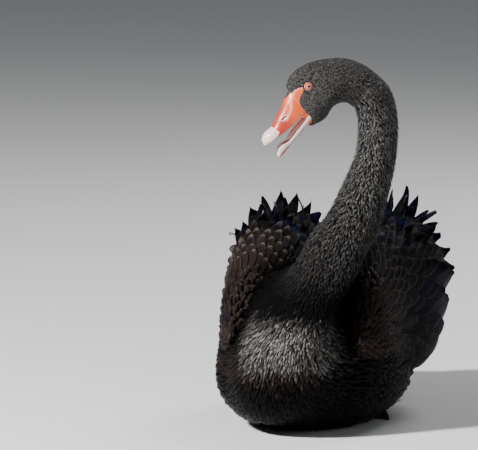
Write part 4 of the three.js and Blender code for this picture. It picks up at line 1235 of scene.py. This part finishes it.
def eye_piece(sign, word, material):
    """The eyeball. It keeps each point's distance from its outward axis, for iris and pupil."""
    bm = bmesh.new()
    ring = bm.verts.layers.float.new("ring")
    bmesh.ops.create_uvsphere(bm, u_segments=48, v_segments=32, radius=EYE["radius"] * MM)
    for v in bm.verts:
        v[ring] = math.hypot(v.co.x, v.co.y) / MM if v.co.z > 0 else 6
    turn = UP_AXIS.rotation_difference(Vector(HEAD_LEFT * sign)).to_matrix().to_4x4()
    at = Matrix.Translation(Vector(head_point(EYE["forward"], EYE["up"], sign * EYE["side"]) * MM))
    bmesh.ops.transform(bm, matrix=at @ turn, verts=bm.verts)
    return bmesh_object("eyeball_" + word, bm, material)


def lid_piece(sign, word, material):
    """The lids: a ring spun from an oval section, its opening a little lower than wide."""
    bm = bmesh.new()
    section = bmesh.ops.create_circle(bm, segments=16, radius=1)["verts"]
    for v in section:
        x, y = v.co.x, v.co.y
        v.co = Vector((4.75 + 0.72 * x, 0, 0.85 * y - 0.35 * x)) * MM
    edges = list({e for v in section for e in v.link_edges})
    bmesh.ops.spin(bm, geom=section + edges, axis=(0, 0, 1), cent=(0, 0, 0), angle=2 * math.pi,
                   steps=72, use_merge=True)
    for v in bm.verts:
        angle = math.atan2(v.co.y, v.co.x)
        lumps = 1 + 0.02 * math.sin(9 * angle) + 0.014 * math.sin(17 * angle + 1)
        v.co.x *= lumps
        v.co.y *= lumps * 0.97
    outward, ahead = Vector(HEAD_LEFT * sign), Vector(HEAD_FORWARD)
    axes = Matrix((ahead, outward.cross(ahead), outward)).transposed().to_4x4()
    at = head_point(EYE["forward"], EYE["up"], sign * (EYE["side"] + 3.3))
    bmesh.ops.transform(bm, matrix=Matrix.Translation(Vector(at * MM)) @ axes, verts=bm.verts)
    return bmesh_object("lids_" + word, bm, material)


def leg_finish(looks):
    f = Finish("scaled_skin")
    place = f.place()
    scale = f.cracks(place, 420.0)
    patch = f.noise(place, 60, 3)
    fine = f.noise(place, 1500, 2)
    colour = f.mix(patch, looks.leg, (0.05, 0.045, 0.045))
    crack = scale.step(0.12, 0.0)
    colour = f.mix(crack * 0.7, colour, (0.006, 0.006, 0.006))
    height = scale.step(0.0, 0.25) + fine * 0.15
    return f.shade(Base_Color=colour, Roughness=0.5 + fine * 0.15, Normal=f.bump(height, 0.0004))


def limb(bm, stops, count, sides, swell=None):
    """An oval tube through stops of x, y, z, half width and half height."""
    rows = track(stops, np.linspace(0, 1, count))
    if swell is not None:
        rows[:, 3:] *= swell[:, None]
    angle = 2 * math.pi * (np.arange(sides) + 0.5) / sides
    rings = []
    for i, row in enumerate(rows):
        along = unit(rows[min(count - 1, i + 1), :3] - rows[max(0, i - 1), :3])
        side = np.cross(UP, along)
        side = unit(side) if np.linalg.norm(side) > 0.2 else np.array([1.0, 0, 0])
        up = unit(np.cross(along, side))
        ring = row[:3] + side * (row[3] * np.cos(angle))[:, None]
        rings.append(ring + up * (row[4] * np.sin(angle))[:, None])
    tube(bm, np.array(rings) * MM)


def keep_above_floor(bm):
    for v in bm.verts:
        v.co.z = max(v.co.z, FLOOR_GAP["legs"] * MM)


def shank_piece(sign, word, material):
    """The shank along the floor, its heel, and the leg above it up into the body."""
    x, heel, ankle, foot, r = sign * LEG["x"], LEG["heel"], LEG["ankle"], LEG["foot"], LEG["radius"]
    shank = [(x, foot + 4, ankle - 3, r * 1.05, r * 0.9), (x, foot + 30, ankle - 2, r * 0.8, r * 0.85),
             (x, heel - 25, ankle, r * 0.85, r * 0.95), (x, heel, ankle + 1, r * 1.25, r * 1.3),
             (x, heel + 10, ankle + 6, r * 0.7, r * 0.8)]
    thigh = [(x, heel - 2, ankle + 8, r * 1.1, r * 1.1),
             (sign * (LEG["x"] - 6), heel - 40, ankle + 34, r * 1.7, r * 1.7),
             (sign * (LEG["x"] - 14), heel - 90, ankle + 58, r * 2.1, r * 2.1)]
    bm = bmesh.new()
    for part in (shank, thigh):
        limb(bm, part, 24, 20)
    keep_above_floor(bm)
    return bmesh_object("shank_" + word, bm, material)


def toes_piece(sign, word, material):
    """Three toes that fan out forward on the floor, and the scalloped web between them."""
    x, foot = sign * LEG["x"], LEG["foot"]
    bm = bmesh.new()

    def reach(k, length):
        bend = math.radians(LEG["splay"] * k + 4 * sign)
        return x + math.sin(bend) * length, foot - math.cos(bend) * length

    # knuckles swell between each toe's joints
    knuckles = 1 + 0.1 * np.cos(np.linspace(0, 1, 32) * 2 * math.pi * 3.5)
    for k in (-1, 0, 1):
        length = LEG["toe"] * (1 if k == 0 else 0.84)
        stops = [(*reach(k, length * s), fat * 0.82, fat * 0.85, fat * 0.8)
                 for s, fat in zip((0, 0.35, 0.7, 0.93, 1), (6.6, 4.8, 4, 2.8, 0.8))]
        limb(bm, stops, 32, 12, knuckles)
    web = bmesh.ops.create_grid(bm, x_segments=24, y_segments=16, size=1)["verts"]
    faces = list({f for v in web for f in v.link_faces})
    for v in web:
        k, s = v.co.x, 0.1 + 0.34 * (v.co.y + 1)
        scallop = 1 - 0.1 * math.sin(math.pi * abs(k))**2 * (s / 0.78)**2
        v.co = Vector((*reach(k, LEG["toe"] * s * scallop), 2.0 + 0.5 * math.sin(9 * k) * s)) * MM
    bmesh.ops.recalc_face_normals(bm, faces=faces)
    bmesh.ops.solidify(bm, geom=faces, thickness=0.0012)
    keep_above_floor(bm)
    return bmesh_object("toes_" + word, bm, material)


# Sizes and colours a user would change

class SwanSizes(bpy.types.PropertyGroup):
    density: FloatProperty(name="Feather density", description="How closely the small feathers stand",
                           default=1.0, min=0.3, max=1.5)
    crest: FloatProperty(name="Crest curl", description="How far the curled wing feathers stand up",
                         default=1.0, min=0.0, max=1.3)
    floor: FloatProperty(name="Floor width", description="Width of the pale floor", default=14.0,
                         min=2.0, subtype="DISTANCE", unit="LENGTH")
    key: FloatProperty(name="Key light", description="Power of the main light", default=300.0, min=0.0,
                       subtype="POWER", unit="POWER")


def colour(name, description, value):
    return FloatVectorProperty(name=name, description=description, default=value, subtype="COLOR",
                               min=0, max=1)


class SwanLooks(bpy.types.PropertyGroup):
    black: colour("Black", "Darkest of the plumage", (0.0012, 0.0012, 0.0015))
    black_lit: colour("Soft black", "Lighter tone among the black feathers", (0.0038, 0.0035, 0.004))
    brown: colour("Brown", "Brown wash over wings and lower breast", (0.026, 0.017, 0.0135))
    # pale edges, partly the feathers' own and partly painted highlights on the neck's feather tips
    grey_edge: colour("Grey edges", "Fringe of the black feathers", (0.12, 0.112, 0.11))
    brown_edge: colour("Brown edges", "Fringe of the browner feathers", (0.16, 0.118, 0.095))
    # painted sheen over breast, neck and head
    silver: colour("Silver", "Shine of breast and neck", (0.31, 0.295, 0.28))
    # painted blue sheen on some wing feathers
    blue: colour("Blue gloss", "Blue cast of some wing feathers", (0.004, 0.008, 0.045))
    shaft: colour("Shafts", "Feather shafts", (0.02, 0.017, 0.018))
    underside: colour("Undersides", "Pale undersides of curled feathers", (0.34, 0.27, 0.26))
    white: colour("White quills", "The hidden flight feathers", (0.78, 0.77, 0.74))
    bill: colour("Bill", "Main red of the bill", (0.6, 0.045, 0.018))
    bill_deep: colour("Deep red", "Deeper red patches of the bill", (0.36, 0.014, 0.012))
    lore: colour("Lore", "Bare skin from bill to eye", (0.74, 0.1, 0.02))
    band: colour("Band", "Pale end of the bill", (0.9, 0.77, 0.72))
    # colour of the painted highlight from eye to bill
    gleam: colour("Streak", "Pale streak from eye to bill", (0.95, 0.55, 0.42))
    lid: colour("Lids", "Ring of skin round the eye", (0.72, 0.16, 0.11))
    iris: colour("Iris", "Colour of the eye", (0.55, 0.06, 0.03))
    leg: colour("Feet", "Skin of legs and feet", (0.02, 0.019, 0.02))


class SwanOperator:
    """What the operators share."""
    bl_options = {"REGISTER", "UNDO"}

    @property
    def sizes(self):
        return bpy.context.scene.swan_sizes

    @property
    def looks(self):
        return bpy.context.scene.swan_looks


class SWAN_OT_skin(SwanOperator, bpy.types.Operator):
    """Build the skin under the feathers"""
    bl_idname = "swan.skin"
    bl_label = "Skin"

    def execute(self, context):
        skin = make_skin(self.looks)
        finish_piece(skin, "feathers", "torso", "neck_lower", "neck_middle", "neck_upper", "head")
        return {"FINISHED"}


class SWAN_OT_coat(SwanOperator, bpy.types.Operator):
    """Build the small feathers of body, neck and head"""
    bl_idname = "swan.coat"
    bl_label = "Small feathers"

    def execute(self, context):
        body = feather_finish("body_feathers", self.looks, barbs=9.0, gloss=0.03)
        neck = feather_finish("neck_feathers", self.looks, barbs=9.0, gloss=0.15)
        stops = [("coat_rump", 0.0, 0.3), ("coat_flanks", 0.3, 0.4), ("coat_breast", 0.4, 0.47),
                 ("coat_shoulders", 0.47, 0.56), ("coat_neck", 0.56, NECK_SHARE),
                 ("coat_nape", NECK_SHARE, 0.87), ("coat_face", 0.87, 1.0)]
        for i, (name, low, high) in enumerate(stops):
            piece = body_coat(name, low, high, self.sizes.density, SEED + i, neck if low > 0.5 else body)
            finish_piece(piece, "feathers")
        return {"FINISHED"}


class SWAN_OT_wings(SwanOperator, bpy.types.Operator):
    """Build the wings' arms, coverts, quills and curled crests"""
    bl_idname = "swan.wings"
    bl_label = "Wings"

    def execute(self, context):
        covers = feather_finish("wing_feathers", self.looks, barbs=80.0, gloss=0.025, long=True)
        down = arm_finish()
        for sign, word in SIDES:
            finish_piece(wing_arm(sign, "arm_" + word, down), "feathers", "wing_" + word)
            finish_piece(wing_coat(sign, "coverts_" + word, covers), "feathers")
            vanes = wing_piece(sign, "vanes_" + word, self.sizes.crest, covers)
            finish_piece(vanes, "quills", "wing_flight_" + word)
        return {"FINISHED"}


class SWAN_OT_tail(SwanOperator, bpy.types.Operator):
    """Build the tail"""
    bl_idname = "swan.tail"
    bl_label = "Tail"

    def execute(self, context):
        material = feather_finish("tail_feathers", self.looks, barbs=70.0, gloss=0.025, long=True)
        finish_piece(tail_core(material), "quills", "tail")
        finish_piece(tail_piece(material), "quills")
        return {"FINISHED"}


class SWAN_OT_bill(SwanOperator, bpy.types.Operator):
    """Build the bill and tongue"""
    bl_idname = "swan.bill"
    bl_label = "Bill"

    def execute(self, context):
        finish = bill_finish("bill_upper", self.looks, False)
        upper = bill_half("bill_upper", UPPER_BILL, finish, carve_upper, waist=0.06, square=1.1)
        finish_piece(upper, "bill", "upper_bill")
        finish = bill_finish("bill_lower", self.looks, True)
        lower = bill_half("bill_lower", LOWER_BILL, finish, carve_lower, waist=0.86, square=1.25,
                          count=80, sides=64)
        finish_piece(lower, "bill", "lower_bill")
        tongue = bill_half("tongue_flesh", TONGUE, tongue_finish(), None, waist=0.5, square=1.0,
                           count=40, sides=24)
        finish_piece(tongue, "tongue", "tongue")
        return {"FINISHED"}


class SWAN_OT_eyes(SwanOperator, bpy.types.Operator):
    """Build the eyes and their lids"""
    bl_idname = "swan.eyes"
    bl_label = "Eyes"

    def execute(self, context):
        eye, lid = eye_finish(self.looks), lid_finish(self.looks)
        for sign, word in SIDES:
            finish_piece(eye_piece(sign, word, eye), "eye", "eye_" + word)
            finish_piece(lid_piece(sign, word, lid), "eye")
        return {"FINISHED"}


class SWAN_OT_legs(SwanOperator, bpy.types.Operator):
    """Build the legs and webbed feet"""
    bl_idname = "swan.legs"
    bl_label = "Legs"

    def execute(self, context):
        material = leg_finish(self.looks)
        for sign, word in SIDES:
            finish_piece(shank_piece(sign, word, material), "leg", "leg_" + word)
            finish_piece(toes_piece(sign, word, material), "leg", "foot_" + word)
        return {"FINISHED"}


class SWAN_OT_stage(SwanOperator, bpy.types.Operator):
    """Build the floor, lights and camera"""
    bl_idname = "swan.stage"
    bl_label = "Stage"

    def execute(self, context):
        half = self.sizes.floor / 2
        bm = bmesh.new()
        bmesh.ops.create_grid(bm, x_segments=1, y_segments=1, size=half)
        f = Finish("floor")
        grain = f.noise(f.place(), 6, 3)
        colour = f.mix(grain * 0.4, (0.82, 0.82, 0.81), (0.86, 0.86, 0.85))
        f.shade(Base_Color=colour, Roughness=0.7 + grain * 0.1)
        floor = bmesh_object("floor", bm, f.material, smooth=False)
        for name, at, width, share in LIGHTS:
            self.light(name, at, width, self.sizes.key * share)
        world = bpy.data.worlds.new("studio")
        world.use_nodes = True
        sky = world.node_tree.nodes["Background"]
        sky.inputs["Color"].default_value = (0.8, 0.86, 0.95, 1)
        sky.inputs["Strength"].default_value = 0.095
        bpy.context.scene.world = world
        self.camera()
        return {"FINISHED"}

    def light(self, name, at, size, power):
        lamp = bpy.data.lights.new(name, "AREA")
        lamp.shape = "DISK"
        lamp.size = size
        lamp.energy = power
        made = bpy.data.objects.new(name, lamp)
        made.location = at
        made.rotation_euler = (Vector((0, 0, 0.2)) - Vector(at)).to_track_quat("-Z", "Y").to_euler()
        bpy.context.scene.collection.objects.link(made)

    def camera(self):
        """The camera, framed as the photograph is, at 1.34 mm for each pixel of its width."""
        az, el = math.radians(CAMERA["round"]), math.radians(CAMERA["above"])
        right = Vector((math.cos(az), math.sin(az), 0))
        up = Vector((-math.sin(az) * math.sin(el), math.cos(az) * math.sin(el), math.cos(el)))
        back = Vector((math.sin(az) * math.cos(el), -math.cos(az) * math.cos(el), math.sin(el)))
        target = right * CAMERA["target right"] + up * CAMERA["target up"]
        data = bpy.data.cameras.new("camera")
        data.sensor_width = 36
        data.lens = data.sensor_width * CAMERA["distance"] / CAMERA["view width"]
        data.clip_end = 60
        made = bpy.data.objects.new("camera", data)
        axes = Matrix((right, up, back)).transposed().to_4x4()
        made.matrix_world = Matrix.Translation(target + back * CAMERA["distance"]) @ axes
        bpy.context.scene.collection.objects.link(made)
        bpy.context.scene.camera = made


class SWAN_PT_panel(bpy.types.Panel):
    bl_label = "Swan"
    bl_idname = "SWAN_PT_panel"
    bl_space_type = "VIEW_3D"
    bl_region_type = "UI"
    bl_category = "Swan"

    def draw(self, context):
        scene = context.scene
        for group in (scene.swan_sizes, scene.swan_looks):
            for key in group.__annotations__:
                self.layout.prop(group, key)
        for operator in OPERATORS:
            self.layout.operator(operator.bl_idname)


OPERATORS = (SWAN_OT_skin, SWAN_OT_coat, SWAN_OT_wings, SWAN_OT_tail, SWAN_OT_bill, SWAN_OT_eyes,
             SWAN_OT_legs, SWAN_OT_stage)
CLASSES = (SwanSizes, SwanLooks, *OPERATORS, SWAN_PT_panel)


def register():
    for cls in CLASSES:
        bpy.utils.register_class(cls)
    bpy.types.Scene.swan_sizes = PointerProperty(type=SwanSizes)
    bpy.types.Scene.swan_looks = PointerProperty(type=SwanLooks)


def unregister():
    del bpy.types.Scene.swan_sizes
    del bpy.types.Scene.swan_looks
    for cls in reversed(CLASSES):
        bpy.utils.unregister_class(cls)


def main():
    """Build every piece and the stage."""
    register()
    bpy.ops.swan.skin()
    bpy.ops.swan.coat()
    bpy.ops.swan.wings()
    bpy.ops.swan.tail()
    bpy.ops.swan.bill()
    bpy.ops.swan.eyes()
    bpy.ops.swan.legs()
    bpy.ops.swan.stage()


if __name__ == "__main__":
    main()
